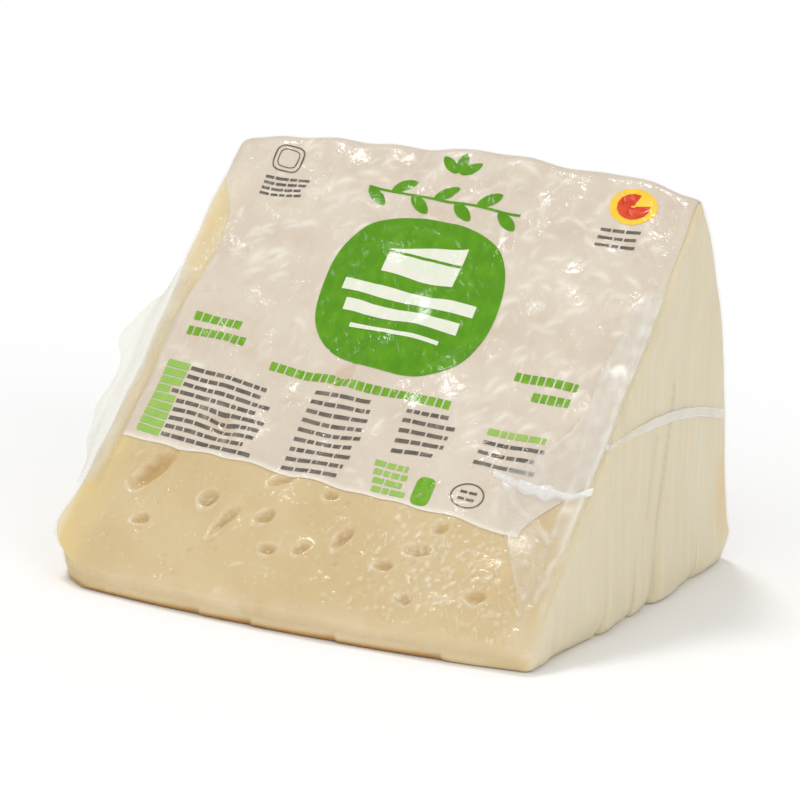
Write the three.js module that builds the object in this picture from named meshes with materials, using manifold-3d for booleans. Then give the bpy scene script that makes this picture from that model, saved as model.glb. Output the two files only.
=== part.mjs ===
// A wedge of hard sheep's-milk cheese, vacuum packed in clear film, lying on one of its two cut faces.
// Millimetres, +Z up. The origin is in the middle of the face it lies on, +X runs along the tip edge
// (which was the middle of the wheel), and the other cut face slopes up from -Y to the ridge.
import * as THREE from "three";
import { mergeVertices } from "three/addons/utils/BufferGeometryUtils.js";
import Module from "manifold-3d";

const wasm = await Module();
wasm.setup();
const { clamp, degToRad, lerp, smoothstep } = THREE.MathUtils;

// ---- Driving dimensions -------------------------------------------------------------------------
const LENGTH = 157; // half the height of a wheel, from end face to end face
const RADIUS = 173; // the wheel's radius: from the sharp tip to the sharp rind corners
const WEDGE_ANGLE = degToRad(46); // an eighth of the wheel
const TIP_TO_ORIGIN = 86; // from the sharp tip to the middle of the face it lies on
const RIND_BOW = 13; // how far the rind stands out past the straight line between its corners
const EDGE_ROUND = 4; // rounding of the long edges
const END_ROUND = 5; // rounding of the edges round both end faces
const TIP_FLAT = 1.2; // how far the tip is cut back before it is rounded
const TIP_BOW = 7; // how far the tip edge bows out in the middle
const RIDGE_BOW = 5.9; // how far the ridge bows up in the middle
const RIDGE_DROP = 1.2; // how much lower the ridge is at each end going from -X to +X
const END_BOW = 1.2; // how far both end faces bow out
const CORNER_ROUND = { tipLeft: 26, tipRight: 6, ridgeLeft: 7, ridgeRight: 6, rind: 9 };
const TIP_FLARE = { out: 3.6, at: 11, spread: 13 }; // the left end swells beside the tip
const FOOT_FLARE = { out: 3, high: 22 }; // the right end spreads at its foot
const SKIN_DEPTH = 14; // how deep below the cut face its lumps are felt

// Lumps of the sloping cut face: height, wave lengths along X and up the slope, and phase.
const LUMPS = [
  { height: 0.5, alongX: 61, alongS: 83, phase: 0.4 },
  { height: 0.4, alongX: -38, alongS: 52, phase: 2.1 },
  { height: 0.3, alongX: 27, alongS: -41, phase: 4.0 },
  { height: 0.2, alongX: 19, alongS: 23, phase: 1.2 },
];
// Ripples of the ridge: height, wave length along X, and phase.
const RIPPLES = [
  { height: 1, alongX: 157, phase: 0 },
  { height: 0.6, alongX: 47, phase: 0.9 },
  { height: 0.4, alongX: 21, phase: 2.6 },
];

// Eyes of the paste that the film is sucked into: place along X and up the slope from the tip,
// length, width and depth, and how far the long way leans from X towards the ridge, in degrees.
const EYES = [
  { x: -55.4, s: 43.5, long: 20, wide: 6.5, deep: 2.6, lean: 61 },
  { x: -51.5, s: 25.3, long: 6, wide: 4.5, deep: 1.8, lean: 20 },
  { x: -33.4, s: 36, long: 7, wide: 5, deep: 2.2, lean: 50 },
  { x: -25, s: 30.1, long: 14, wide: 4.5, deep: 2, lean: 62 },
  { x: -12.9, s: 32.5, long: 7, wide: 5, deep: 2, lean: 30 },
  { x: -8, s: 22.2, long: 6, wide: 4, deep: 1.6, lean: 10 },
  { x: -13.4, s: 46, long: 9, wide: 4, deep: 1.5, lean: 34 },
  { x: 3.4, s: 43.9, long: 5, wide: 4, deep: 1.6, lean: 0 },
  { x: 12.5, s: 31, long: 9, wide: 4.5, deep: 2, lean: 72 },
  { x: 1.6, s: 24.3, long: 6, wide: 4, deep: 1.5, lean: 60 },
  { x: 27.7, s: 24.4, long: 6, wide: 4, deep: 1.6, lean: 15 },
  { x: 36, s: 31, long: 9, wide: 4.5, deep: 1.9, lean: 10 },
  { x: 37, s: 15.5, long: 5, wide: 3.5, deep: 1.4, lean: 0 },
  { x: 57.4, s: 20.1, long: 7, wide: 5, deep: 1.8, lean: 20 },
  { x: 39.9, s: 39.4, long: 6, wide: 4, deep: 1.4, lean: 30 },
  { x: -9.5, s: 86, long: 13, wide: 7, deep: 1.6, lean: 72 },
  { x: -40.8, s: 62.8, long: 16, wide: 7, deep: 1.6, lean: 142 },
];
const EYE_SET = 0.25; // how far an eye's middle stands above the face, as a share of its depth

// Creases of the film down the right end face: distance from the tip at the foot, how far up they
// reach, and how deep and wide they bite at the foot.
const CREASES = [
  { fromTip: 55, reach: 44, deep: 2.2, wide: 5 },
  { fromTip: 79, reach: 70, deep: 2.6, wide: 6 },
  { fromTip: 97, reach: 92, deep: 2.8, wide: 6 },
  { fromTip: 134, reach: 52, deep: 2.4, wide: 6 },
];
const CREASE_LEAN = Math.tan(degToRad(2.6)); // the creases lean back towards the rind
const CREASE_TOP = 0.15; // how much of its width a crease keeps at the top

// The film's welds and folds, which stand proud of the cheese.
const EAR = { low: 30, high: 114, thick: 1.6, root: 7, wave: 1.1, curl: 3, sunk: 2.5 };
const EAR_PEAK = { at: 93, reach: 12.5, spread: 13 }; // the wide part of the ear
const EAR_HIP = { at: 62, reach: 8, spread: 23 }; // the narrow part below it
const WELD = { from: 53, to: 158, top: 58.3, topAt: 85, fall: 9.2, wide: 2.6, proud: 1, sunk: 2 };
const FOLD = { low: 18, high: 138, wide: 8, proud: 1.3, sunk: 4, inset: 4.5 };
const FLAP = { tipX: 48, tipS: 63, low: 22, high: 74, inset: 4, proud: 1.3, sunk: 3 };

// How finely the wedge is divided: along X, along the slope, and through its height.
const DIVIDE = { x: 24, y: 26, z: 8, round: 2 };

// ---- Values that follow from them ---------------------------------------------------------------
const HALF = LENGTH / 2;
const HALF_ANGLE = WEDGE_ANGLE / 2;
const COS = Math.cos(WEDGE_ANGLE);
const SIN = Math.sin(WEDGE_ANGLE);
const CHORD = RADIUS * Math.cos(HALF_ANGLE); // from the sharp tip to the straight rind line
const TIP_NEAREST = EDGE_ROUND / Math.sin(HALF_ANGLE) - EDGE_ROUND; // from the sharp tip to the round one
// The directions that the section's four sides face, as angles from +Y towards +Z.
const FACING = {
  rind: HALF_ANGLE,
  slope: WEDGE_ANGLE + Math.PI / 2,
  tip: HALF_ANGLE + Math.PI,
  floor: -Math.PI / 2,
};
// The section without its rounding, each corner as (from the sharp tip, up).
const INNER = innerCorners();

function innerCorners() {
  const tip = new THREE.Vector2(EDGE_ROUND / Math.tan(HALF_ANGLE), EDGE_ROUND);
  const rindOut = (CHORD - EDGE_ROUND - EDGE_ROUND * Math.sin(HALF_ANGLE)) / Math.cos(HALF_ANGLE);
  const rind = new THREE.Vector2(rindOut, EDGE_ROUND);
  const ridge = new THREE.Vector2(rind.x * COS + rind.y * SIN, rind.x * SIN - rind.y * COS);
  const tipBelow = new THREE.Vector2(tip.x + TIP_FLAT, tip.y);
  const tipAbove = new THREE.Vector2(tip.x + TIP_FLAT * COS, tip.y + TIP_FLAT * SIN);
  return { tipBelow, rind, ridge, tipAbove };
}

// ---- Solids and meshes --------------------------------------------------------------------------
function solidOf(geometry) {
  const bare = geometry.clone();
  bare.deleteAttribute("normal");
  bare.deleteAttribute("uv");
  const merged = mergeVertices(bare, 1e-3);
  return new wasm.Manifold(
    new wasm.Mesh({
      numProp: 3,
      vertProperties: new Float32Array(merged.attributes.position.array),
      triVerts: new Uint32Array(merged.index.array),
    }),
  );
}

function geometryOf(solid) {
  const mesh = solid.getMesh();
  const geometry = new THREE.BufferGeometry();
  geometry.setAttribute("position", new THREE.BufferAttribute(mesh.vertProperties, 3));
  geometry.setIndex(new THREE.BufferAttribute(mesh.triVerts, 1));
  geometry.computeVertexNormals();
  return geometry;
}

// Moves every point of a geometry as the function does.
function reshape(geometry, move) {
  const position = geometry.getAttribute("position");
  const point = new THREE.Vector3();
  for (let i = 0; i < position.count; i += 1) {
    point.fromBufferAttribute(position, i);
    move(point);
    position.setXYZ(i, point.x, point.y, point.z);
  }
  return geometry;
}

// ---- The wedge's form, worked out from the sharp tip --------------------------------------------
// Splits a grid coordinate from -1 to 1 into its place on the flat part and its share of the rounding.
function split(value, divisions) {
  const flat = 1 - (2 * DIVIDE.round) / divisions;
  const held = clamp(value, -flat, flat);
  return { place: held / flat, turn: (value - held) / (1 - flat) };
}

// The direction that the rounding faces between two neighbouring sides of the section.
function facingBetween(turnY, turnZ) {
  const sideY = turnY > 0 ? FACING.rind : FACING.tip;
  const sideZ = turnZ > 0 ? FACING.slope : FACING.floor;
  const wrap = turnY < 0 && turnZ < 0 ? 2 * Math.PI : 0;
  const share = Math.atan2(Math.abs(turnZ), Math.abs(turnY)) / (Math.PI / 2);
  return lerp(sideY, sideZ + wrap, share);
}

// Takes a point of the divided cube, each coordinate from -1 to 1, to the rounded straight wedge.
function toWedge(point) {
  const x = split(point.x, DIVIDE.x);
  const y = split(point.y, DIVIDE.y);
  const z = split(point.z, DIVIDE.z);
  const low = INNER.tipBelow.clone().lerp(INNER.rind, (y.place + 1) / 2);
  const high = INNER.tipAbove.clone().lerp(INNER.ridge, (y.place + 1) / 2);
  const middle = low.lerp(high, (z.place + 1) / 2);
  const turn = new THREE.Vector3(x.turn, y.turn, z.turn).normalize();
  const facing = facingBetween(turn.y, turn.z);
  const push = EDGE_ROUND * Math.hypot(turn.y, turn.z);
  point.set(
    x.place * (HALF - END_ROUND) + END_ROUND * turn.x,
    middle.x + push * Math.cos(facing),
    middle.y + push * Math.sin(facing),
  );
}

// Where a point lies seen from the sharp tip: how far round from the floor, and how far out.
function polar(point) {
  return { turn: Math.atan2(point.z, point.y), out: Math.hypot(point.y, point.z) };
}

function setPolar(point, turn, out) {
  point.y = out * Math.cos(turn);
  point.z = out * Math.sin(turn);
}

// Pulls a corner in to a round one; near and across are the distances to the corner's two sides.
function roundCorner(near, across, radius) {
  const a = radius - near;
  const b = radius - across;
  const reach = Math.hypot(a, b);
  if (a <= 0 || b <= 0 || reach <= radius) return { near, across };
  return { near: radius - (a * radius) / reach, across: radius - (b * radius) / reach };
}

// Rounds the outline where the end faces meet the tip, the ridge and the rind.
function roundOutline(point) {
  const left = point.x < 0;
  const fromEnd = HALF - Math.abs(point.x);
  const { turn, out } = polar(point);
  const ridgeRound = left ? CORNER_ROUND.ridgeLeft : CORNER_ROUND.ridgeRight;
  const farRound = lerp(CORNER_ROUND.rind, ridgeRound, smoothstep(turn / WEDGE_ANGLE, 0.3, 0.7));
  const furthest = CHORD / Math.cos(turn - HALF_ANGLE);
  const far = roundCorner(fromEnd, furthest - out, farRound);
  const tipRound = left ? CORNER_ROUND.tipLeft : CORNER_ROUND.tipRight;
  const tip = roundCorner(far.near, furthest - far.across - TIP_NEAREST, tipRound);
  setPolar(point, turn, TIP_NEAREST + tip.across);
  point.x = (left ? -1 : 1) * (HALF - tip.near);
}

// Bows the rind outwards, and leaves both cut faces as they are.
function bowRind(point) {
  const { turn, out } = polar(point);
  const offMiddle = clamp((turn - HALF_ANGLE) / HALF_ANGLE, -1, 1);
  setPolar(point, turn, out * (1 + (RIND_BOW * (1 - offMiddle ** 2)) / CHORD));
}

// How far an end face stands out past its flat place.
function endBow(y, z, left) {
  const turn = clamp(Math.atan2(z, y) / WEDGE_ANGLE, 0, 1);
  const out = Math.hypot(y, z);
  const bow = END_BOW * Math.sin(Math.PI * turn) * Math.sin(Math.PI * clamp(out / CHORD, 0, 1));
  if (left) {
    const flare = Math.exp(-(((out - TIP_NEAREST - TIP_FLARE.at) / TIP_FLARE.spread) ** 2));
    return bow + TIP_FLARE.out * flare * smoothstep(z, 0, 4);
  }
  const ends = smoothstep(y, 18, 60) * smoothstep(RADIUS - y, 0, 10);
  return bow + FOOT_FLARE.out * Math.exp(-((z / FOOT_FLARE.high) ** 2)) * ends;
}

function bowEnds(point) {
  const share = smoothstep(Math.abs(point.x) / HALF, 0.55, 1);
  point.x += Math.sign(point.x) * share * endBow(point.y, point.z, point.x < 0);
}

// Bows the tip edge out and the ridge up, both most in the middle of the length.
function bowEdges(point) {
  const bow = 1 - (point.x / HALF) ** 2;
  const up = (point.y * COS + point.z * SIN) / RADIUS;
  const ridgeShare = smoothstep(up, 0.35, 1) * smoothstep(point.z, 0, 30);
  const tipShare = 1 - smoothstep(point.y / RADIUS, 0, 0.5);
  let lift = RIDGE_BOW * bow - (RIDGE_DROP * point.x) / HALF;
  for (const { height, alongX, phase } of RIPPLES) {
    lift += height * Math.sin((2 * Math.PI * point.x) / alongX + phase);
  }
  point.y += lift * ridgeShare * COS - TIP_BOW * bow * tipShare;
  point.z += lift * ridgeShare * SIN;
}

// Lumps of the sloping cut face, felt less and less below its skin, and not at all on the floor.
function lumpHeight(x, s) {
  let total = 0;
  for (const { height, alongX, alongS, phase } of LUMPS) {
    total += height * Math.sin(2 * Math.PI * (x / alongX + s / alongS) + phase);
  }
  return total;
}

function raiseLumps(point) {
  const s = point.y * COS + point.z * SIN;
  const off = -point.y * SIN + point.z * COS;
  const share = smoothstep(off, -SKIN_DEPTH, 0) * smoothstep(point.z, 0, 12);
  const height = lumpHeight(point.x, s) * share;
  point.y -= height * SIN;
  point.z += height * COS;
}

function bend(point) {
  roundOutline(point);
  bowRind(point);
  bowEnds(point);
  bowEdges(point);
  raiseLumps(point);
  point.y -= TIP_TO_ORIGIN;
}

function cheeseWedge() {
  const cube = new THREE.BoxGeometry(2, 2, 2, DIVIDE.x, DIVIDE.y, DIVIDE.z);
  return reshape(cube, (point) => {
    toWedge(point);
    bend(point);
  });
}

// Places a point over the bent sloping face: along X, up the slope from the tip, and off the face.
function onSlope(point, x, s, height) {
  const inside = clamp(x, -HALF, HALF);
  point.set(inside, s * COS, s * SIN);
  bowEdges(point);
  const raised = height + lumpHeight(inside, s);
  point.set(x, point.y - raised * SIN - TIP_TO_ORIGIN, point.z + raised * COS);
}

// Places a point over the right end face: from the tip, up, and off the face.
function onRightEnd(point, fromTip, up, height) {
  point.set(HALF + endBow(fromTip, up, false) + height, fromTip - TIP_TO_ORIGIN, up);
}

// ---- Dents of the paste -------------------------------------------------------------------------
function eyeDent(eye) {
  const ball = new THREE.SphereGeometry(1, 12, 6);
  ball.rotateX(Math.PI / 2);
  ball.scale(eye.long / 2, eye.wide / 2, eye.deep);
  ball.rotateZ(degToRad(eye.lean));
  ball.rotateX(WEDGE_ANGLE);
  const middle = new THREE.Vector3();
  onSlope(middle, eye.x, eye.s, EYE_SET * eye.deep);
  return ball.translate(middle.x, middle.y, middle.z);
}

function creaseCut(crease) {
  const cut = new THREE.CylinderGeometry(CREASE_TOP, 1, crease.reach, 10, 4);
  cut.rotateX(Math.PI / 2);
  return reshape(cut, (point) => {
    const up = point.z + crease.reach / 2;
    const fromTip = crease.fromTip + up * CREASE_LEAN + (point.y * crease.wide) / 2;
    onRightEnd(point, fromTip, up - 1, point.x * crease.deep);
  });
}

// ---- Welds and folds of the film ----------------------------------------------------------------
function hill(value, shape) {
  return shape.reach * Math.exp(-(((value - shape.at) / shape.spread) ** 2));
}

// The ear of slack film that stands out along the left end of the sloping face.
function filmEar() {
  const sheet = new THREE.BoxGeometry(1, 1, 1, 4, 16, 1);
  return reshape(sheet, (point) => {
    const along = point.y + 0.5;
    const outward = 0.5 - point.x;
    const s = lerp(EAR.low, EAR.high, along);
    const reach = (hill(s, EAR_PEAK) + hill(s, EAR_HIP)) * Math.sin(Math.PI * along) ** 0.35;
    const x = -HALF + EAR.root - outward * (EAR.root + reach);
    const wave = EAR.wave * outward * Math.sin(s / 5.5) - EAR.curl * outward ** 2;
    const height = wave - EAR.sunk + point.z * EAR.thick * (1.25 - 0.5 * outward);
    onSlope(point, x, s, height);
  });
}

// The weld that runs back across the right end face and falls away towards the rind.
function filmWeld() {
  const strip = new THREE.BoxGeometry(1, 1, 1, 2, 16, 2);
  return reshape(strip, (point) => {
    const fromTip = lerp(WELD.from, WELD.to, point.y + 0.5);
    const fall = WELD.fall * ((fromTip - WELD.topAt) / 72) ** 2;
    const up = WELD.top - fall + point.z * WELD.wide;
    onRightEnd(point, fromTip, up, lerp(-WELD.sunk, WELD.proud, point.x + 0.5));
  });
}

// The fold of film along the edge between the sloping face and the right end face.
function filmFold() {
  const strip = new THREE.BoxGeometry(1, 1, 1, 4, 20, 1);
  return reshape(strip, (point) => {
    const along = point.y + 0.5;
    const s = lerp(FOLD.low, FOLD.high, along);
    const wide = FOLD.wide * Math.sin(Math.PI * lerp(0.95, 0.15, along)) ** 0.8;
    const crown = FOLD.proud * Math.cos(Math.PI * point.x) + 0.25 * Math.sin(s / 3.1);
    const height = point.z > 0 ? crown : -FOLD.sunk;
    onSlope(point, HALF - FOLD.inset + point.x * wide, s, height);
  });
}

// The three-cornered flap that the fold throws forward over the sloping face.
function filmFlap() {
  const sheet = new THREE.BoxGeometry(1, 1, 1, 6, 8, 1);
  return reshape(sheet, (point) => {
    const outward = 0.5 - point.x;
    const edge = lerp(FLAP.low, FLAP.high, point.y + 0.5);
    const s = lerp(edge, FLAP.tipS, outward * 0.92);
    const x = lerp(HALF - FLAP.inset, FLAP.tipX, outward);
    const rumple = 0.35 * Math.sin(x / 1.9 + s / 4.3);
    const height = point.z > 0 ? FLAP.proud * (1 - 0.4 * outward) + rumple : -FLAP.sunk;
    onSlope(point, x, s, height);
  });
}

// ---- The packed wedge ---------------------------------------------------------------------------
function vacuumPack() {
  let pack = solidOf(cheeseWedge());
  for (const fold of [filmEar(), filmWeld(), filmFold(), filmFlap()]) pack = pack.add(solidOf(fold));
  for (const eye of EYES) pack = pack.subtract(solidOf(eyeDent(eye)));
  for (const crease of CREASES) pack = pack.subtract(solidOf(creaseCut(crease)));
  const film = new THREE.MeshStandardMaterial({ color: 0xe6dcc4, roughness: 0.28, metalness: 0 });
  const mesh = new THREE.Mesh(geometryOf(pack), film);
  mesh.name = "vacuum_pack";
  return mesh;
}

const part = new THREE.Group();
part.add(vacuumPack());

export default part;
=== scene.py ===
"""A wedge of hard sheep's-milk cheese in its vacuum pack: the paste, the clear film round it and its print.

The sizes are millimetres, worked out from the sharp tip of the wedge: x runs along the tip edge, s runs
up the sloping cut face from the tip and on over the ridge, and a height is off the face. The meshes are
in metres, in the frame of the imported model.
"""

import math

import bmesh
import bpy
import numpy as np
from mathutils import Matrix, Vector


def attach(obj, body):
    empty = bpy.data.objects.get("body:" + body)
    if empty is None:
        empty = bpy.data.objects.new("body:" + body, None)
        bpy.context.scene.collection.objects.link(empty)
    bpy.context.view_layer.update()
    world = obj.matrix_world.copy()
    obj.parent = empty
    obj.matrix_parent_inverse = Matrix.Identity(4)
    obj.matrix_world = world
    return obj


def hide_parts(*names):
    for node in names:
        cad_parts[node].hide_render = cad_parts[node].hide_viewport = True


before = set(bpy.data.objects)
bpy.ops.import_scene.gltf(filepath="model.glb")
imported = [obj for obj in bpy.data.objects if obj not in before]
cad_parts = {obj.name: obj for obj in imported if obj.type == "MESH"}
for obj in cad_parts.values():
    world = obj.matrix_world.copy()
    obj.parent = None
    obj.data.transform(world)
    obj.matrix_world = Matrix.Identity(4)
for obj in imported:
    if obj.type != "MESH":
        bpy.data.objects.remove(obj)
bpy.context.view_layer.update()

bl_info = {
    "name": "Vacuum-packed cheese wedge",
    "version": (1, 0, 0),
    "blender": (4, 5, 0),
    "location": "View3D > Sidebar > Cheese",
    "description": "Builds a wedge of hard cheese in clear vacuum film, with its print and a small studio",
    "category": "Object",
}

MM = 0.001
BODY = "root"
NODE = "vacuum_pack"

# ---- The wedge's driving dimensions -----------------------------------------------------------------
LENGTH = 157  # along the tip edge, from end face to end face
RADIUS = 173  # from the sharp tip to the sharp rind corners
WEDGE_ANGLE = math.radians(46)
TIP_TO_ORIGIN = 86  # from the sharp tip to the middle of the face it lies on
RIND_BOW = 13  # how far the rind stands out past the straight line between its corners
EDGE_ROUND = 4  # rounding of the long edges
END_ROUND = 5  # rounding of the edges round both end faces
TIP_FLAT = 1.2  # how far the tip is cut back before it is rounded
TIP_BOW = 7  # how far the tip edge bows out in the middle
RIDGE_BOW = 5.9  # how far the ridge bows up in the middle
RIDGE_DROP = 1.2  # how much lower the ridge is at each end going from -X to +X
END_BOW = 1.2  # how far both end faces bow out
CORNER_ROUND = {"tip_left": 26, "tip_right": 6, "ridge_left": 7, "ridge_right": 6, "rind": 9}
TIP_FLARE = {"out": 3.6, "at": 11, "spread": 13}  # the left end swells beside the tip
SHOULDER = {"out": 1.4, "s": (100, 125), "off": (-25, -5)}  # swells the left end beside the cut face's top
FOOT_FLARE = {"out": 3, "high": 22, "from": 18, "full": 60, "fade": 10}  # the right end spreads at its foot
SKIN_DEPTH = 14  # how deep below the cut face its lumps are felt

# Lumps of the sloping face: height, wave lengths along X and up the slope, and phase.
LUMPS = ((0.5, 61, 83, 0.4), (0.4, -38, 52, 2.1), (0.3, 27, -41, 4.0), (0.2, 19, 23, 1.2))
# Ripples of the ridge: height, wave length along X, and phase.
RIPPLES = ((1, 157, 0), (0.6, 47, 0.9), (0.4, 21, 2.6))

# Eyes of the paste that the film is sucked into: place along X and up the slope, length, width and
# depth, and how far the long way leans from X towards the ridge, in degrees.
EYES = (
    (-55.4, 44.9, 20, 6.5, 2.6, 61),
    (-51.5, 26.7, 6, 4.5, 1.8, 20),
    (-33.4, 37.4, 7, 5, 2.2, 50),
    (-25, 31.5, 14, 4.5, 2, 62),
    (-12.9, 33.9, 7, 5, 2, 30),
    (-8, 23.6, 6, 4, 1.6, 10),
    (-13.4, 47.4, 9, 4, 1.5, 34),
    (3.4, 45.3, 5, 4, 1.6, 0),
    (12.5, 32.4, 9, 4.5, 2, 72),
    (1.6, 25.7, 6, 4, 1.5, 60),
    (27.7, 25.8, 6, 4, 1.6, 15),
    (36, 32.4, 9, 4.5, 1.9, 10),
    (37, 16.9, 5, 3.5, 1.4, 0),
    (57.4, 21.5, 7, 5, 1.8, 20),
    (39.9, 40.8, 6, 4, 1.4, 30),
    (-9.5, 87.4, 13, 7, 1.6, 72),
    (-40.8, 64.2, 16, 7, 1.6, 142),
)

# Creases down the right end face: distance from the tip at the foot, how far up they reach, and how
# deep and wide they bite at the foot.
CREASES = ((55, 44, 2.2, 5), (79, 70, 2.6, 6), (97, 92, 2.8, 6), (134, 52, 2.4, 6))
CREASE_LEAN = math.tan(math.radians(2.6))  # the creases lean back towards the rind
CREASE_TOP = 0.15  # how much of its width a crease keeps at the top

# The film's welds and folds, which stand proud of the cheese. The ear runs from low to high up the slope,
# its root lies on the face, and it reaches out furthest at its peak and its hip.
EAR = {"low": 36, "high": 117, "root": 8.5, "wave": 0.9, "curl": 3, "lift": 0.5, "half_thick": 0.12}
EAR_PEAK = {"at": 96, "reach": 11.5, "spread": 14}
EAR_HIP = {"at": 62, "reach": 8, "spread": 22}
# The weld's way along the end face, its height there, and how far it falls away to both sides of its top.
WELD = {"from": 53, "to": 155.6, "top": 58.3, "top_at": 85, "fall": 9.2, "fall_over": 72, "wide": 2.6}
WELD_SKIN = {"proud": 0.35, "rim": 0.15, "edge": 0.3, "sunk": 1.2}
# The flap runs from low to high up the slope, and its tip points forward.
FLAP = {"low": 14, "high": 138, "tip_x": 48.5, "tip_s": 64.5, "float": 0.35, "crest": 0.18, "sunk": 1.6}

# The flap's free border, from its foot out to its tip and back up the fold: places in x and s.
FLAP_BORDER = (
    ((72, FLAP["low"]), (67, 28), (56.5, 46.5), (FLAP["tip_x"], FLAP["tip_s"]), (56.5, 70.5), (65, 81))
    + ((67.5, 90), (66.5, 100), (69, 129), (72, FLAP["high"]))
)
# The crinkled seam: its lowest place up the slope, how far it climbs towards either end, its least width,
# and how far it stands off the face and reaches under it.
SEAM = {"s": 59.8, "climb_left": 4.6, "climb_right": 3, "wide": 2, "proud": 0.9, "sunk": 0.8}

# Bright crests of the slack film over the right edge: how strongly each shows, and its way in x and s.
CRESTS = {
    "diagonal": (0.75, ((49, 64), (57, 56.5), (71.5, 45))),
    "left_border": (0.2, ((48.5, 64), (57.5, 46.5), (68, 28))),
    "fold_left": (0.5, ((71.5, 45), (70.5, 75), (68.5, 100), (71, 129))),
    "fold_right": (0.75, ((73, 137), (76, 88), (76.5, 55), (73.5, 26))),
    "top_border": (0.3, ((49, 65.5), (57, 70.5), (66, 81))),
    "short": (0.55, ((58.5, 71), (64, 65))),
}
CREST_WIDE = 0.95
# Bright lines of the ear, and milky streaks of the taut film: strength, width, and the way in x and s.
EAR_LINES = (
    (1, 1.2, ((-79, 112), (-85, 92), (-82, 74), (-84, 55), (-79, 42))),
    (1, 0.9, ((-77, 96), (-79, 76), (-77, 52))),
)
STREAKS = (
    (0.4, 1.7, ((-73, 152), (-69.5, 130), (-71, 112), (-72, 100))),
    (0.3, 1.6, ((77, 150), (77, 80), (77, 20))),
)
# Faint creases of the right end face, dented in and painted darker tan as shade: strength, and the way from
# the tip and up.
END_LINES = ((1, ((90.5, 0), (98.5, 32), (104, 66))), (0.5, ((87, 30), (92, 54))))

# How far the foot of the right end lifts off the floor between its lobes: from the tip, and up.
FOOT_RISE = (
    ((18, 0), (30, 2), (40, 4), (50, 6), (53, 3.6), (56, 1.7), (62, 1), (73, 3.5), (76, 1.8), (81, 1.4))
    + ((93, 3.7), (96, 1.4), (103, -0.6), (110, -0.6), (119, 0.4), (129, 4.1), (132, 2.6), (146, 1.2))
    + ((155, 4), (160, 7.5), (175, 8))
)
FOOT_RISE_HIGH = 16  # how far up the end face that lift fades out
# Small steps in the foot of the tip, where it draws back to the left of each; and how the foot is filled.
FOOT_STEPS = {"at": (-23, -6, 20.5, 52), "deep": 1.3, "long": 9}
FOOT_FILL = {"tip": 2, "ends": 1.4, "high": 3.4, "reach": 25}
# The golden patch at the far edge of the right end face: its middle, and half its length and height.
PATCH = {"from_tip": 158, "up": 24, "long": 8, "high": 17}

# ---- Values that follow from them -------------------------------------------------------------------
HALF = LENGTH / 2
HALF_ANGLE = WEDGE_ANGLE / 2
COS = math.cos(WEDGE_ANGLE)
SIN = math.sin(WEDGE_ANGLE)
CHORD = RADIUS * math.cos(HALF_ANGLE)  # from the sharp tip to the straight rind line
TIP_NEAREST = EDGE_ROUND / math.sin(HALF_ANGLE) - EDGE_ROUND
# The directions that the section's four sides face, as angles from +Y towards +Z.
FACING = {
    "rind": HALF_ANGLE,
    "slope": WEDGE_ANGLE + math.pi / 2,
    "tip": HALF_ANGLE + math.pi,
    "floor": -math.pi / 2,
}

# How finely the wedge is divided: along X, along the slope, through its height, and round an edge.
# The rows along the slope crowd together towards the tip by this share.
DIVIDE = {"x": 250, "y": 216, "z": 40, "round": 4, "crowd": 0.2}
CELLS = {"ear": (44, 150), "weld": (150, 16), "flap": (110, 250), "seam": (150, 12), "panel": (200, 230)}
MARK_CELL = 0.9  # about how long a cell of a printed mark is

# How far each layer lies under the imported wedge's outer face; for print, its under and its upper side.
PASTE_SUNK = 0.55
FOOT_GAP = 0.05  # how far the paste's flat underside stays clear of the film's
PANEL_SUNK = (0.64, 0.32)
INK_SUNK = (0.26, 0.2)
OVERPRINT_SUNK = (0.14, 0.08)

FACE_SKIN = (-4, -0.5)  # from where to where under the cut face a point comes to count as on it
WOBBLE = {"size": 5, "seed": 3}  # the unevenness that all dents share


# ---- Small mathematics ------------------------------------------------------------------------------
def smoothstep(value, low, high):
    share = np.clip((value - low) / (high - low), 0, 1)
    return share * share * (3 - 2 * share)


def fade(value, low, high):
    return 1 - smoothstep(value, low, high)


def lerp(low, high, share):
    return low + (high - low) * share


def hill(value, at, reach, spread):
    return reach * np.exp(-(((value - at) / spread) ** 2))


def waves(a, b, size, seed, count=9):
    """A smooth uneven pattern round 0: waves of about one length that run all ways."""
    draw = np.random.default_rng(seed)
    total = np.zeros_like(a)
    for _ in range(count):
        turn, phase = draw.uniform(0, 2 * math.pi, 2)
        length = size * draw.uniform(0.7, 1.5)
        total += np.sin(2 * math.pi * (a * math.cos(turn) + b * math.sin(turn)) / length + phase)
    return total / math.sqrt(count)


def linear(red, green, blue):
    """A colour as Blender's sockets take it, from its 0 to 255 values on a screen."""
    return tuple(
        c / 255 / 12.92 if c / 255 <= 0.04045 else ((c / 255 + 0.055) / 1.055) ** 2.4
        for c in (red, green, blue)
    )


# ---- The wedge's form, worked out from the sharp tip ------------------------------------------------
def inner_corners():
    """The section without its rounding, each corner as (from the sharp tip, up)."""
    tip = np.array((EDGE_ROUND / math.tan(HALF_ANGLE), EDGE_ROUND))
    rind_out = (CHORD - EDGE_ROUND - EDGE_ROUND * math.sin(HALF_ANGLE)) / math.cos(HALF_ANGLE)
    rind = np.array((rind_out, EDGE_ROUND))
    ridge = np.array((rind[0] * COS + rind[1] * SIN, rind[0] * SIN - rind[1] * COS))
    tip_below = tip + (TIP_FLAT, 0)
    tip_above = tip + (TIP_FLAT * COS, TIP_FLAT * SIN)
    return {"tip_below": tip_below, "rind": rind, "ridge": ridge, "tip_above": tip_above}


INNER = inner_corners()
RIDGE_S = INNER["ridge"] @ (COS, SIN)  # where the sloping face begins to turn over the ridge


def split(value, divisions):
    """Splits a grid coordinate into its place on the flat part and its share of the rounding."""
    flat = 1 - 2 * DIVIDE["round"] / divisions
    held = np.clip(value, -flat, flat)
    return held / flat, (value - held) / (1 - flat)


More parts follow.
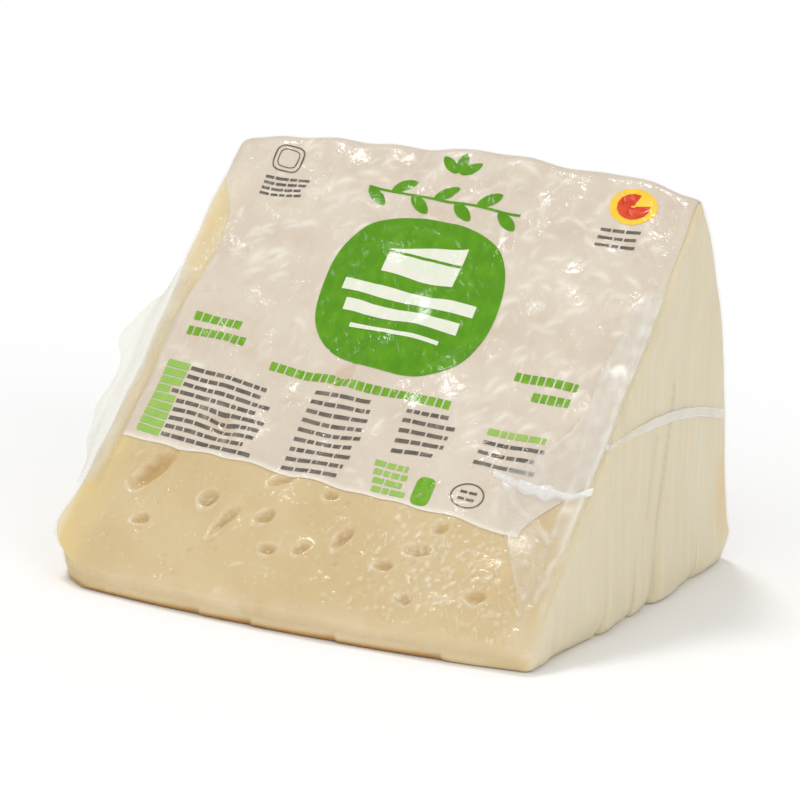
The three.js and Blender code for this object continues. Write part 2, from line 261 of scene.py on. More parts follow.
def facing_between(turn_y, turn_z):
    """The direction that the rounding faces between two neighbouring sides of the section."""
    side_y = np.where(turn_y > 0, FACING["rind"], FACING["tip"])
    side_z = np.where(turn_z > 0, FACING["slope"], FACING["floor"])
    wrap = np.where((turn_y < 0) & (turn_z < 0), 2 * math.pi, 0)
    share = np.arctan2(np.abs(turn_z), np.abs(turn_y)) / (math.pi / 2)
    return lerp(side_y, side_z + wrap, share)


def to_wedge(grid, height):
    """Takes points of the divided cube to the rounded straight wedge."""
    place_x, turn_x = split(grid[:, 0], DIVIDE["x"])
    place_y, turn_y = split(grid[:, 1], DIVIDE["y"])
    place_z, turn_z = split(grid[:, 2], DIVIDE["z"])
    place_y = place_y + DIVIDE["crowd"] * (place_y**2 - 1)
    along = ((place_y + 1) / 2)[:, None]
    low = lerp(INNER["tip_below"], INNER["rind"], along)
    high = lerp(INNER["tip_above"], INNER["ridge"], along)
    middle = lerp(low, high, ((place_z + 1) / 2)[:, None])
    size = np.sqrt(turn_x**2 + turn_y**2 + turn_z**2)
    facing = facing_between(turn_y, turn_z)
    push = (EDGE_ROUND + height) * np.hypot(turn_y, turn_z) / size
    x = place_x * (HALF - END_ROUND) + (END_ROUND + height) * turn_x / size
    return x, middle[:, 0] + push * np.cos(facing), middle[:, 1] + push * np.sin(facing)


def round_corner(near, across, radius, height):
    """Pulls a corner in to a round one; near and across are the distances to its two sides."""
    a = radius - near
    b = radius - across
    reach = np.maximum(np.hypot(a, b), 1e-9)
    outside = (a > 0) & (b > 0) & (reach > radius + height)
    scale = np.where(outside, (radius + height) / reach, 1)
    return radius - a * scale, radius - b * scale


def round_outline(x, y, z, height):
    """Rounds the outline where the end faces meet the tip, the ridge and the rind."""
    left = x < 0
    turn, out = np.arctan2(z, y), np.hypot(y, z)
    ridge_round = np.where(left, CORNER_ROUND["ridge_left"], CORNER_ROUND["ridge_right"])
    tip_round = np.where(left, CORNER_ROUND["tip_left"], CORNER_ROUND["tip_right"])
    far_round = lerp(CORNER_ROUND["rind"], ridge_round, smoothstep(turn / WEDGE_ANGLE, 0.3, 0.7))
    furthest = CHORD / np.cos(turn - HALF_ANGLE)
    near, across = round_corner(HALF - np.abs(x), furthest - out, far_round, height)
    near, across = round_corner(near, furthest - across - TIP_NEAREST, tip_round, height)
    out = TIP_NEAREST + across
    return np.where(left, -1, 1) * (HALF - near), out * np.cos(turn), out * np.sin(turn)


def bow_rind(y, z):
    turn, out = np.arctan2(z, y), np.hypot(y, z)
    off_middle = np.clip((turn - HALF_ANGLE) / HALF_ANGLE, -1, 1)
    out = out * (1 + (RIND_BOW * (1 - off_middle**2)) / CHORD)
    return out * np.cos(turn), out * np.sin(turn)


def end_bow(y, z, left):
    """How far an end face stands out past its flat place."""
    turn = np.clip(np.arctan2(z, y) / WEDGE_ANGLE, 0, 1)
    out = np.hypot(y, z)
    bow = END_BOW * np.sin(math.pi * turn) * np.sin(math.pi * np.clip(out / CHORD, 0, 1))
    swell = hill(out - TIP_NEAREST, TIP_FLARE["at"], TIP_FLARE["out"], TIP_FLARE["spread"])
    ends = smoothstep(y, FOOT_FLARE["from"], FOOT_FLARE["full"])
    ends = ends * smoothstep(RADIUS - y, 0, FOOT_FLARE["fade"])
    foot = hill(z, 0, FOOT_FLARE["out"], FOOT_FLARE["high"]) * ends
    return bow + np.where(left, swell * smoothstep(z, 0, 4), foot)


def bow_edges(x, y, z):
    """Bows the tip edge out and the ridge up, both most in the middle of the length."""
    bow = 1 - (x / HALF) ** 2
    up = (y * COS + z * SIN) / RADIUS
    ridge_share = smoothstep(up, 0.35, 1) * smoothstep(z, 0, 30)
    tip_share = fade(y / RADIUS, 0, 0.5)
    lift = RIDGE_BOW * bow - RIDGE_DROP * x / HALF
    for height, along_x, phase in RIPPLES:
        lift = lift + height * np.sin(2 * math.pi * x / along_x + phase)
    return y + lift * ridge_share * COS - TIP_BOW * bow * tip_share, z + lift * ridge_share * SIN


def foot_recess(x):
    """How far the foot of the tip draws back, stepping out again at each of its steps."""
    recess = np.zeros_like(x)
    for at in FOOT_STEPS["at"]:
        fading = np.exp(-np.maximum(at - x, 0) / FOOT_STEPS["long"])
        recess = np.maximum(recess, fading * fade(x, at - 0.6, at + 0.6))
    return recess


def fill_foot(x, y, z):
    """Fills the rounding under the foot, and steps the foot of the tip."""
    low = fade(z, 0, FOOT_FILL["high"])
    at_corner = 0.8 * smoothstep(np.abs(x), HALF - 18, HALF - 5)
    at_tip = fade(y, 0, FOOT_FILL["reach"]) * (1 - at_corner)
    y = y + (FOOT_STEPS["deep"] * foot_recess(x) - FOOT_FILL["tip"]) * low * at_tip
    at_end = smoothstep(np.abs(x), HALF - 14, HALF - 6)
    return x + np.sign(x) * FOOT_FILL["ends"] * low * at_end, y


def up_and_off(y, z):
    """How far up the slope a place lies, and how far it stands off the straight cut face."""
    return y * COS + z * SIN, z * COS - y * SIN


def shoulder(x, s, off):
    """How far the left end stands out further beside the upper part of the cut face."""
    at_end = smoothstep(-x, HALF - 8, HALF - 1)
    return SHOULDER["out"] * smoothstep(s, *SHOULDER["s"]) * smoothstep(off, *SHOULDER["off"]) * at_end


def lump_height(x, s):
    total = 0
    for height, along_x, along_s, phase in LUMPS:
        total = total + height * np.sin(2 * math.pi * (x / along_x + s / along_s) + phase)
    return total


def bend(x, y, z, height, relief=None):
    """Takes the straight wedge to the real one, with its lumps and the relief given for each face."""
    at_right = smoothstep(x, HALF - END_ROUND, HALF - 1)
    x, y, z = round_outline(x, y, z, height)
    y, z = bow_rind(y, z)
    left = x < 0
    x = x + np.sign(x) * smoothstep(np.abs(x) / HALF, 0.55, 1) * end_bow(y, z, left)
    y, z = bow_edges(x, y, z)
    x, y = fill_foot(x, y, z)
    rise = np.maximum(np.interp(y, *zip(*FOOT_RISE)), 0)
    z = z + rise * at_right * fade(z, 0, FOOT_RISE_HIGH)
    s, off = up_and_off(y, z)
    x = x - shoulder(x, s, off)
    raised = lump_height(x, s) * smoothstep(off, -SKIN_DEPTH, 0) * smoothstep(z, 0, 12)
    if relief:
        raised = raised + relief.slope(x, s) * smoothstep(off, *FACE_SKIN) * smoothstep(z, 0.5, 6)
        at_end = smoothstep(np.abs(x), HALF - END_ROUND, HALF - 0.5)
        x = x + np.sign(x) * np.where(left, relief.left_end(y, z), relief.right_end(y, z)) * at_end
        x = x - np.where(left, 0, crease_depth(y, z)) * smoothstep(x, HALF - 12, HALF - 5)
    return x, y - raised * SIN - TIP_TO_ORIGIN, z + raised * COS


def unrolled(x, s, height, relief):
    """Places points over the sloping face, the ridge and the rind, unrolled: along X, up, and off."""
    past = np.abs(x) - (HALF - END_ROUND)
    round_end = np.clip(past / END_ROUND, 0, math.pi / 2)
    flat_x = np.sign(x) * np.minimum(np.abs(x), HALF - END_ROUND)
    over = FACING["slope"] - FACING["rind"]
    round_edge = np.clip((s - RIDGE_S) / EDGE_ROUND, 0, over)
    down = np.maximum(s - RIDGE_S - EDGE_ROUND * over, 0)
    fall = (INNER["rind"] - INNER["ridge"]) / np.linalg.norm(INNER["rind"] - INNER["ridge"])
    flat_s = np.minimum(s, RIDGE_S)
    facing = FACING["slope"] - round_edge
    push = (EDGE_ROUND + height) * np.cos(round_end)
    y = flat_s * COS + EDGE_ROUND * SIN + push * np.cos(facing) + down * fall[0]
    z = flat_s * SIN - EDGE_ROUND * COS + push * np.sin(facing) + down * fall[1]
    return bend(flat_x + np.sign(x) * (END_ROUND + height) * np.sin(round_end), y, z, height, relief)


def straightened(x, s):
    """Where a place up the slope lay before the tip and the ridge were bowed."""
    before = s
    for _ in range(3):
        y, z = bow_edges(x, before * COS, before * SIN)
        before = before - (y * COS + z * SIN - s)
    return before


def on_slope(x, s, height):
    """Places points over the bent sloping face, also past its ends."""
    inside = np.clip(x, -HALF, HALF)
    y, z = bow_edges(inside, s * COS, s * SIN)
    raised = height + lump_height(inside, s)
    return x, y - raised * SIN - TIP_TO_ORIGIN, z + raised * COS


def on_right_end(from_tip, up, height):
    return HALF + end_bow(from_tip, up, False) + height, from_tip - TIP_TO_ORIGIN, up


# ---- Relief -----------------------------------------------------------------------------------------
def bright_lines(x, s, lines):
    """How strongly the nearest of some lines shows; each is (strength, width, way in x and s)."""
    return np.max([share * near_line(x, s, points, wide) for share, wide, points in lines], axis=0)


def near_line(x, s, points, wide):
    """How near each point lies to a bent line: 1 on it, and falling away over its width."""
    nearest = np.full_like(x, 1e6)
    for (x_from, s_from), (x_to, s_to) in zip(points, points[1:]):
        dx, ds = x_to - x_from, s_to - s_from
        share = np.clip(((x - x_from) * dx + (s - s_from) * ds) / (dx * dx + ds * ds), 0, 1)
        nearest = np.minimum(nearest, np.hypot(x - x_from - share * dx, s - s_from - share * ds))
    return np.exp(-((nearest / wide) ** 2))


def turned(dx, ds, lean):
    """Distances along and across something that leans from X towards the ridge, in degrees."""
    turn = math.radians(lean)
    return dx * math.cos(turn) + ds * math.sin(turn), ds * math.cos(turn) - dx * math.sin(turn)


def near_dent(x, s, dent, wobble):
    """The points round a dent, and how far off its middle they are, 1 being its uneven edge."""
    dent_x, dent_s, long, wide, _, lean = dent
    near = (np.abs(x - dent_x) < long) & (np.abs(s - dent_s) < long)
    dx, ds = x[near] - dent_x, s[near] - dent_s
    along, across = turned(dx, ds, lean)
    return near, dx, ds, np.hypot(along / (long / 2), across / (wide / 2)) * (1 + 0.09 * wobble[near])


def dents_of(x, s, dents, wobble, edge=0.8):
    """How deep a field of dents goes; each is (x, s, long, wide, deep, lean)."""
    depth = np.zeros_like(x)
    for dent in dents:
        near, _, _, off = near_dent(x, s, dent, wobble)
        depth[near] = np.maximum(depth[near], dent[4] * fade(off, 1 - edge, 1.1))
    return depth


def rims_of(x, s, dents, wobble):
    """The rims that taut film draws round dents, highest on their lower left."""
    height = np.zeros_like(x)
    for dent in dents:
        near, dx, ds, off = near_dent(x, s, dent, wobble)
        clear = (off - 1.12) * dent[3] / 2
        side = 0.55 - 0.45 * np.sin(np.arctan2(ds, dx) + math.pi / 5)
        height[near] = np.maximum(height[near], np.exp(-((clear / 0.55) ** 2)) * side)
    return height


def scattered(seed, count, x_range, s_range, long, slim, deep, lean):
    """Dents scattered over a field, the same ones each time."""
    draw = np.random.default_rng(seed)
    dents = []
    for _ in range(count):
        size = draw.uniform(*long)
        dents.append((
            draw.uniform(*x_range),
            draw.uniform(*s_range),
            size,
            size * draw.uniform(*slim),
            draw.uniform(*deep) * min(1, size / long[1] + 0.3),
            draw.normal(lean[0], lean[1]),
        ))
    return dents


def strokes_of(x, s, strokes):
    """How high a field of creases stands; each is (x, s, long, wide, high, lean)."""
    height = np.zeros_like(x)
    for stroke_x, stroke_s, long, wide, high, lean in strokes:
        near = (np.abs(x - stroke_x) < long) & (np.abs(s - stroke_s) < long)
        along, across = turned(x[near] - stroke_x, s[near] - stroke_s, lean)
        along = along / (long / 2)
        across = across + 0.12 * long * along**2
        shape = np.exp(-((across / wide) ** 2)) * np.clip(1 - along**2, 0, 1)
        height[near] = np.maximum(height[near], high * shape)
    return height


EYE_PLACES = [(*eye[:4], 1, eye[5]) for eye in EYES]  # for asking where the eyes lie, not how deep they are

# Each field: seed, how many, where in x and in s, lengths, slimness, depths, and lean with its spread.
BARE_PITS = scattered(11, 70, (-72, 72), (14, 52), (1.2, 3.4), (0.5, 0.9), (0.15, 0.6), (60, 25))
SOFT_DENTS = (
    scattered(12, 100, (-70, 72), (54, 168), (5, 9), (0.5, 0.9), (0.1, 0.3), (60, 40))
    + scattered(19, 300, (-70, 74), (100, 170), (2, 5), (0.4, 0.8), (0.08, 0.22), (40, 40))
)
BARE_CREASES = (
    scattered(13, 26, (-70, 70), (12, 52), (2, 5), (0.09, 0.12), (0.08, 0.2), (58, 16))
    + scattered(14, 60, (-6, 40), (10, 40), (0.9, 2.4), (0.16, 0.3), (0.08, 0.24), (60, 35))
    + scattered(20, 90, (20, 60), (8, 44), (0.9, 2.8), (0.16, 0.3), (0.12, 0.3), (60, 35))
    + scattered(21, 150, (34, 73), (8, 42), (0.9, 2.8), (0.16, 0.3), (0.12, 0.34), (60, 35))
    + scattered(15, 10, (-60, 70), (8, 28), (4, 7), (0.06, 0.09), (0.08, 0.16), (-20, 18))
)
PANEL_CREASES = (
    scattered(16, 120, (-70, 72), (54, 168), (3, 8), (0.09, 0.13), (0.05, 0.16), (35, 40))
    + scattered(17, 150, (-60, 74), (118, 170), (3, 9), (0.1, 0.16), (0.06, 0.16), (30, 35))
    + scattered(18, 60, (30, 74), (70, 130), (3, 8), (0.1, 0.16), (0.06, 0.16), (50, 30))
)


def pleats(y, z, seed):
    """Fine pleats down an end face, which lean back as they rise."""
    level = y - z * CREASE_LEAN
    fine = 0.03 * waves(level, z / 14, 2.6, seed) + 0.07 * waves(level, z / 10, 6, seed + 1)
    return fine + 0.3 * waves(level, z / 4, 24, seed + 2)


def crease_depth(y, z):
    depth = np.zeros_like(y)
    for from_tip, reach, deep, wide in CREASES:
        share = lerp(1, CREASE_TOP, np.clip(z / reach, 0, 1)) * fade(z, reach, reach + 9)
        off = (y - from_tip - z * CREASE_LEAN) / np.maximum(share * wide / 2 + 0.6, 1e-6)
        depth = np.maximum(depth, deep * share**6 * np.clip(1 - off**2, 0, 1) ** 1.5)
    return depth


class Relief:
    """Relief of the two cut faces and the end faces, in millimetres outwards."""

    def __init__(self, eyes, pits, creases, dents=0.8):
        self.eyes = eyes
        self.pits = pits
        self.creases = creases
        self.dents = dents

    def slope(self, x, s):
        wobble = waves(x, s, **WOBBLE)
        hollow = self.eyes * dents_of(x, s, EYES, wobble)
        small = self.pits * dents_of(x, s, BARE_PITS, wobble)
        soft = self.dents * dents_of(x, s, SOFT_DENTS, wobble, 1)
        raised = np.maximum(strokes_of(x, s, BARE_CREASES), strokes_of(x, s, PANEL_CREASES))
        raised = np.maximum(raised, 0.4 * rims_of(x, s, EYES, wobble))
        paste = 0.07 * waves(x, s, 9, 4) + 0.15 * waves(x, s, 24, 5)
        paste = paste + 0.3 * waves(x, s, 15, 6) * smoothstep(s, 145, 165)
        return paste + self.creases * raised - np.maximum(hollow, small) - soft

    def left_end(self, y, z):
        return pleats(y, z, 21) * 0.6

    def right_end(self, y, z):
        lines = sum(share * near_line(y, z, line, 1.2) for share, line in END_LINES)
        return pleats(y, z, 31) * 0.7 - 0.25 * lines


PASTE_RELIEF = Relief(eyes=1, pits=1, creases=0)
FILM_RELIEF = Relief(eyes=0.85, pits=0.6, creases=1)
PRINT_RELIEF = Relief(eyes=0.85, pits=0.6, creases=0)


# ---- Meshes -----------------------------------------------------------------------------------------
def divided_cube(cells_x, cells_y, cells_z):
    """A cube from -1 to 1, divided into a grid on all its sides."""
    bm = bmesh.new()
    bmesh.ops.create_cube(bm, size=2)
    for axis, cells in enumerate((cells_x, cells_y, cells_z)):
        if cells > 1:
            along = [e for e in bm.edges if abs(e.verts[0].co[axis] - e.verts[1].co[axis]) > 1]
            bmesh.ops.subdivide_edges(bm, edges=along, cuts=cells - 1, use_grid_fill=True)
    return bm


def grid_of(mesh):
    values = np.empty(len(mesh.vertices) * 3)
    mesh.vertices.foreach_get("co", values)
    return values.reshape(-1, 3)


def make_piece(name, bm, place, material, sharp=180):
    """Turns a bmesh into a finished piece.

    place takes its grid to x, y and z in millimetres, and to the attributes that its material reads.
    """
    mesh = bpy.data.meshes.new(name)
    bm.to_mesh(mesh)
    bm.free()
    x, y, z, attributes = place(grid_of(mesh))
    mesh.vertices.foreach_set("co", (np.column_stack((x, y, z)) * MM).ravel())
    mesh.update()
    mesh.shade_smooth()
    if sharp < 180:
        mesh.set_sharp_from_angle(angle=math.radians(sharp))
    for key, values in attributes.items():
        attribute = mesh.attributes.new(key, "FLOAT", "POINT")
        attribute.data.foreach_set("value", values.astype(np.float32))
    mesh.materials.append(material)
    piece = bpy.data.objects.new(name, mesh)
    bpy.context.scene.collection.objects.link(piece)
    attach(piece, BODY)
    return piece


def wedge_mesh():
    """The divided cube of the wedge, with its flat rest face left undivided."""
    bm = divided_cube(DIVIDE["x"], DIVIDE["y"], DIVIDE["z"])
    flat = 1 - 2 * DIVIDE["round"] / max(DIVIDE["x"], DIVIDE["y"]) + 1e-4
    inner = {v for v in bm.verts if v.co.z < -0.9999 and max(abs(v.co.x), abs(v.co.y)) < flat}
    under = [f for f in bm.faces if all(v in inner for v in f.verts)]
    bmesh.ops.dissolve_faces(bm, faces=under, use_verts=True)
    return bm


# ---- Materials --------------------------------------------------------------------------------------
class Nodes:
    """A material's node tree, with short ways to add to it."""

    def __init__(self, name):
        self.material = bpy.data.materials.new(name)
        self.material.use_nodes = True
        self.tree = self.material.node_tree
        self.tree.nodes.clear()
        self.output = self.add("ShaderNodeOutputMaterial")
        self.object_place = self.add("ShaderNodeTexCoord").outputs["Object"]

    def add(self, kind, settings=(), **inputs):
        """Adds a node. Inputs are given by socket name, with _ for a space, or as in0, in1 by number."""
        node = self.tree.nodes.new(kind)
        for key, value in dict(settings).items():
            setattr(node, key, value)
        for key, value in inputs.items():
            socket = node.inputs[int(key[2:])] if key[:2] == "in" and key[2:].isdigit() else None
            socket = socket or node.inputs[key.replace("_", " ")]
            if isinstance(value, bpy.types.NodeSocket):
                self.tree.links.new(value, socket)
            else:
                socket.default_value = value
        return node

    def mapped(self, scale=(1, 1, 1), turn=(0, 0, 0)):
        """Object coordinates in millimetres, turned and then scaled."""
        turned = self.add("ShaderNodeMapping", Vector=self.object_place, Rotation=turn)
        sizes = tuple(v / MM for v in scale)
        return self.add("ShaderNodeMapping", Vector=turned.outputs[0], Scale=sizes).outputs[0]

    def noise(self, size, detail=2, roughness=0.5, scale=(1, 1, 1), turn=(0, 0, 0), warp=0):
        place = self.mapped(tuple(v / size for v in scale), turn)
        node = self.add(
            "ShaderNodeTexNoise", Vector=place, Scale=1, Detail=detail, Roughness=roughness, Distortion=warp
        )
        return node.outputs["Fac"]

    def attribute(self, name):
        return self.add("ShaderNodeAttribute", {"attribute_name": name}).outputs["Fac"]

    def ramp(self, value, low, high, to_low=0, to_high=1):
        node = self.add(
            "ShaderNodeMapRange",
            {"interpolation_type": "SMOOTHSTEP"},
            Value=value,
            From_Min=low,
            From_Max=high,
            To_Min=to_low,
            To_Max=to_high,
        )
        return node.outputs["Result"]

    def math(self, operation, first, second):
        return self.add("ShaderNodeMath", {"operation": operation}, in0=first, in1=second).outputs[0]

    def blend(self, share, first, second):
        """A colour between two, by a share from 0 to 1."""
        first, second = (v if isinstance(v, bpy.types.NodeSocket) else (*v, 1) for v in (first, second))
        node = self.add("ShaderNodeMix", {"data_type": "RGBA"}, in0=share, in6=first, in7=second)
        return node.outputs[2]

    def toned(self, colour, **tones):
        """Turns a colour to each tone in turn, by the piece's attribute of that name."""
        for name, tone in tones.items():
            colour = self.blend(self.attribute(name), colour, tone)
        return colour

    def mix(self, share, first, second):
        """A shader between two, by a share from 0 to 1."""
        return self.add("ShaderNodeMixShader", in0=share, in1=first.outputs[0], in2=second.outputs[0])

    def bump(self, height, depth, normal=None):
        """Bump whose height goes from 0 to 1 over depth, in millimetres."""
        links = {"Normal": normal} if normal else {}
        node = self.add("ShaderNodeBump", Height=height, Distance=depth * MM, Strength=1, **links)
        return node.outputs["Normal"]

    def matt(self, colour):
        """Ink under the film, which has no gloss of its own."""
        return self.add(
            "ShaderNodeBsdfPrincipled", Base_Color=colour, Roughness=0.7, Specular_IOR_Level=0.05
        )

    def under_gloss(self, body, roughness, normal):
        """A shader under a gloss that is the same from inside and outside, so that thin film stays clear."""
        facing = self.add("ShaderNodeLayerWeight", Blend=0.5, Normal=normal).outputs["Facing"]
        grazing = self.math("MULTIPLY", self.math("POWER", facing, 5), FILM_GLOSS["grazing"])
        share = self.math("ADD", grazing, FILM_GLOSS["facing"])
        gloss = self.add("ShaderNodeBsdfGlossy", Roughness=roughness, Normal=normal)
        return self.mix(share, body, gloss)

    def finish_film(self, share, milky, roughness, normal):
        """Finishes clear film that turns milky by a share, with its gloss."""
        body = self.mix(share, self.add("ShaderNodeBsdfTransparent"), milky)
        return self.finish(self.under_gloss(body, roughness, normal).outputs[0])

    def finish(self, shader):
        self.tree.links.new(shader, self.output.inputs["Surface"])
        return self.material


SLOPE_TURN = (-WEDGE_ANGLE, 0, 0)  # lays the sloping face flat
FILM_GLOSS = {"facing": 0.035, "grazing": 0.25}  # how much the film reflects straight on and sideways


def paste_material(settings):
    """Dense pale paste, golden towards the edges, with painted shade in its hollows, along its foot and in
    the end creases, and a pale worn rind.
    """
    nodes = Nodes("cheese_paste")
    cloudy = nodes.ramp(nodes.noise(26, 3), 0.35, 0.68)
    flecks = nodes.ramp(nodes.noise(2.2, 3, 0.6), 0.52, 0.75)
    colour = nodes.blend(cloudy, settings.paste, settings.paste_warm)
    colour = nodes.blend(nodes.math("MULTIPLY", flecks, 0.25), colour, settings.paste_pale)
    streaks = nodes.noise(3.2, 3, 0.6, (0.2, 1, 0.06), (-math.atan(CREASE_LEAN), 0, 0))
    side = nodes.blend(nodes.ramp(streaks, 0.35, 0.7), settings.side_dark, settings.side_pale)
    # painted shade: the end face's creases are laid darker tan
    side = nodes.blend(nodes.math("MULTIPLY", nodes.attribute("line"), 0.55), side, settings.side_crease_shade)
    worn = nodes.ramp(nodes.noise(9, 5, 0.65), 0.36, 0.66)
    rind = nodes.blend(worn, settings.rind, settings.rind_dark)
    # hollow and foot paint shade: darker in the eyes and pits, and a dark line where the tip meets the
    # floor.
    colour = nodes.toned(colour, edge=settings.golden, hollow=settings.hollow, foot=settings.foot)
    colour = nodes.toned(colour, side=side, patch=settings.patch, rind=rind)
    shader = nodes.add(
        "ShaderNodeBsdfPrincipled",
        Base_Color=colour,
        Roughness=0.55,
        Specular_IOR_Level=0.1,
        Normal=nodes.bump(nodes.noise(5, 3), 0.05),
        Subsurface_Weight=0.3,
        Subsurface_Radius=(1, 0.55, 0.28),
        Subsurface_Scale=0.004,
    )
    return nodes.finish(shader.outputs[0])


LEANING = (SLOPE_TURN[0], 0, math.radians(-28))  # turns a pattern to lean as the creases do


def film_material(settings):
    """Clear taut film: see-through, glossy, and milky where it is creased or doubled; its milk also paints
    glints and a sheen.
    """
    nodes = Nodes("clear_film")
    crinkle = nodes.attribute("crinkle")
    leaning = nodes.noise(1.5, 3, 0.6, (1, 0.34, 1), LEANING, 0.4)
    puckers = nodes.noise(2.8, 2, 0.5, (1, 1, 1), SLOPE_TURN, 0.8)
    strokes = nodes.math("MULTIPLY", nodes.ramp(leaning, 0.52, 0.74), crinkle)
    soft = nodes.bump(nodes.noise(12, 2), 0.12)
    puckered = nodes.bump(nodes.math("MULTIPLY", puckers, crinkle), 0.28, soft)
    normal = nodes.bump(strokes, 0.22, puckered)
    # milky creases from noise, partly the film's own whitening and partly painted glints on its crinkles
    crease = nodes.math("MULTIPLY", nodes.ramp(leaning, 0.6, 0.74), crinkle)
    crease = nodes.math("MULTIPLY", crease, settings.crease_milk_and_glints)
    streaky = nodes.ramp(nodes.noise(5, 3, 0.6, (1, 0.25, 1), SLOPE_TURN, 0.5), 0.2, 0.75, 0.25, 1)
    haze_and_glints = nodes.math("MAXIMUM", crease, nodes.math("MULTIPLY", nodes.attribute("milk_and_glints"), streaky))
    milky = nodes.add("ShaderNodeBsdfDiffuse", Color=(*settings.milk_and_glints, 1))
    return nodes.finish_film(haze_and_glints, milky, settings.roughness, normal)


def slack_film_material(name, tint, uneven, crinkle, roughness):
    """Slack or doubled film: milky by its body attribute, with soft long folds."""
    nodes = Nodes(name)
    folds = nodes.noise(8, 2, 0.5, (1, 0.22, 1), (SLOPE_TURN[0], 0, math.radians(12)), 0.6)
    fine = nodes.noise(2.2, 2, 0.5, (1, 0.6, 1), SLOPE_TURN, 0.6)
    normal = nodes.bump(fine, crinkle, nodes.bump(folds, 3 * crinkle))
    faint = nodes.ramp(folds, 0.3, 0.7, 1 - uneven, 1)
    share = nodes.math("MULTIPLY", nodes.attribute("body"), faint)
    milky = nodes.add("ShaderNodeBsdfDiffuse", Color=(*tint, 1), Normal=normal)
    glow = nodes.add("ShaderNodeBsdfTranslucent", Color=(*tint, 1), Normal=normal)
    return nodes.finish_film(share, nodes.mix(0.4, milky, glow), roughness, normal)


def panel_material(settings):
    """The milky white that the film is printed with, laid on the paste, with painted tan shade in its dents
    and painted pale glints on its creases.
    """
    nodes = Nodes("printed_white")
    cloudy = nodes.ramp(nodes.noise(20, 3, 0.55, (1, 1, 1), SLOPE_TURN), 0.35, 0.7)
    smears = nodes.ramp(nodes.noise(4.5, 4, 0.65, (1, 0.5, 1), SLOPE_TURN, 0.6), 0.52, 0.78)
    colour = nodes.blend(cloudy, settings.panel, settings.panel_warm)
    colour = nodes.blend(nodes.math("MULTIPLY", smears, 0.35), colour, settings.panel_pale_and_glints)
    # the dents get painted tan shade, the creases painted pale glints, and the lower border a pale line
    colour = nodes.toned(colour, dent=settings.panel_dent_shade, stroke=settings.panel_pale_and_glints)
    return nodes.finish(nodes.matt(colour).outputs[0])


def ink_material(name, colour, worn):
    """Printed ink, a little uneven, as it lies on crinkled film."""
    nodes = Nodes(name)
    uneven = nodes.ramp(nodes.noise(3.4, 4, 0.6, (1, 0.6, 1), SLOPE_TURN), 0.35, 0.75)
    return nodes.finish(nodes.matt(nodes.blend(uneven, colour, worn)).outputs[0])


# ---- Settings ---------------------------------------------------------------------------------------
def colour_setting(name, description, colour):
    return bpy.props.FloatVectorProperty(
        name=name, description=description, default=colour, subtype="COLOR", size=3, min=0, max=1
    )


def share_setting(name, description, value):
    return bpy.props.FloatProperty(
        name=name, description=description, default=value, subtype="FACTOR", min=0, max=1
    )


class PasteSettings(bpy.types.PropertyGroup):
    paste: colour_setting("Paste", "The paste in the middle of a cut face", linear(210, 189, 147))
    paste_warm: colour_setting("Warm paste", "Its warmer clouds", linear(205, 182, 137))
    paste_pale: colour_setting("Pale flecks", "Its small pale flecks", linear(222, 206, 171))
    golden: colour_setting("Golden edge", "The paste along the left edge", linear(222, 198, 138))
    # The hollows' colour is painted shade, laid darker into the eyes and pits.
    hollow: colour_setting("Hollows", "The paste inside its eyes", linear(196, 158, 92))
    # The foot's colour is painted shade along the bottom of the tip, where it meets the floor.
    foot: colour_setting("Foot", "The dark line along the bottom of the tip", linear(172, 124, 52))
    side_pale: colour_setting("Pale side", "Pale streaks of the end faces", linear(227, 216, 187))
    side_dark: colour_setting("Dark side", "Darker streaks of the end faces", linear(223, 211, 180))
    # The side crease colour is painted shade in the right end face's creases.
    side_crease_shade: colour_setting(
        "Side crease", "The faint creases of the right end face", linear(196, 176, 134)
    )
    patch: colour_setting("Patch", "The golden patch at the right face's far edge", linear(228, 200, 150))
    rind: colour_setting("Rind", "The worn rind", linear(212, 190, 140))
    rind_dark: colour_setting("Dark rind", "Its darker patches", linear(190, 160, 106))


class FilmSettings(bpy.types.PropertyGroup):
    # This milky tone also paints the glints on creases and eye rims, and the sheen on the nose.
    milk_and_glints: colour_setting("Milk", "The milky tone of creased film", linear(252, 246, 226))
    tint: colour_setting("Slack film", "The tone of slack and doubled film", linear(246, 245, 238))
    ear: colour_setting("Ear", "The tone of the ear of slack film", linear(251, 251, 246))
    seam: colour_setting("Seam", "The tone of the crinkled seam", linear(254, 254, 252))
    # The crease haze is partly the film's whitening and partly painted glints on its crinkles.
    crease_milk_and_glints: share_setting("Crease haze", "How milky the taut film's creases are", 0.5)
    roughness: share_setting("Roughness", "How soft its reflections are", 0.13)


class PrintSettings(bpy.types.PropertyGroup):
    panel: colour_setting("Panel", "The milky white printed under the marks", linear(216, 204, 187))
    panel_warm: colour_setting("Warm panel", "Its warmer clouds", linear(210, 196, 178))
    # This pale tone is the panel's own smears, and also the painted glints on its creases.
    panel_pale_and_glints: colour_setting("Pale panel", "Its pale smears", linear(238, 231, 218))
    # The tan is painted shade in the panel's dents.
    panel_dent_shade: colour_setting("Tan panel", "The tan that shows in its dents", linear(204, 178, 148))
    green: colour_setting("Green", "The strong green", linear(82, 142, 0))
    words: colour_setting("Word green", "The green of the rows of heavy dashes", linear(104, 160, 24))
    light_green: colour_setting("Light green", "The light green of small marks", linear(146, 188, 84))
    dark: colour_setting("Dark ink", "The ink of the small lines", linear(94, 88, 80))
    white: colour_setting("White", "The white on the green field", linear(222, 230, 208))
    yellow: colour_setting("Yellow", "The yellow of the round mark", linear(244, 196, 40))
    red: colour_setting("Red", "The red of the round mark", linear(208, 52, 22))


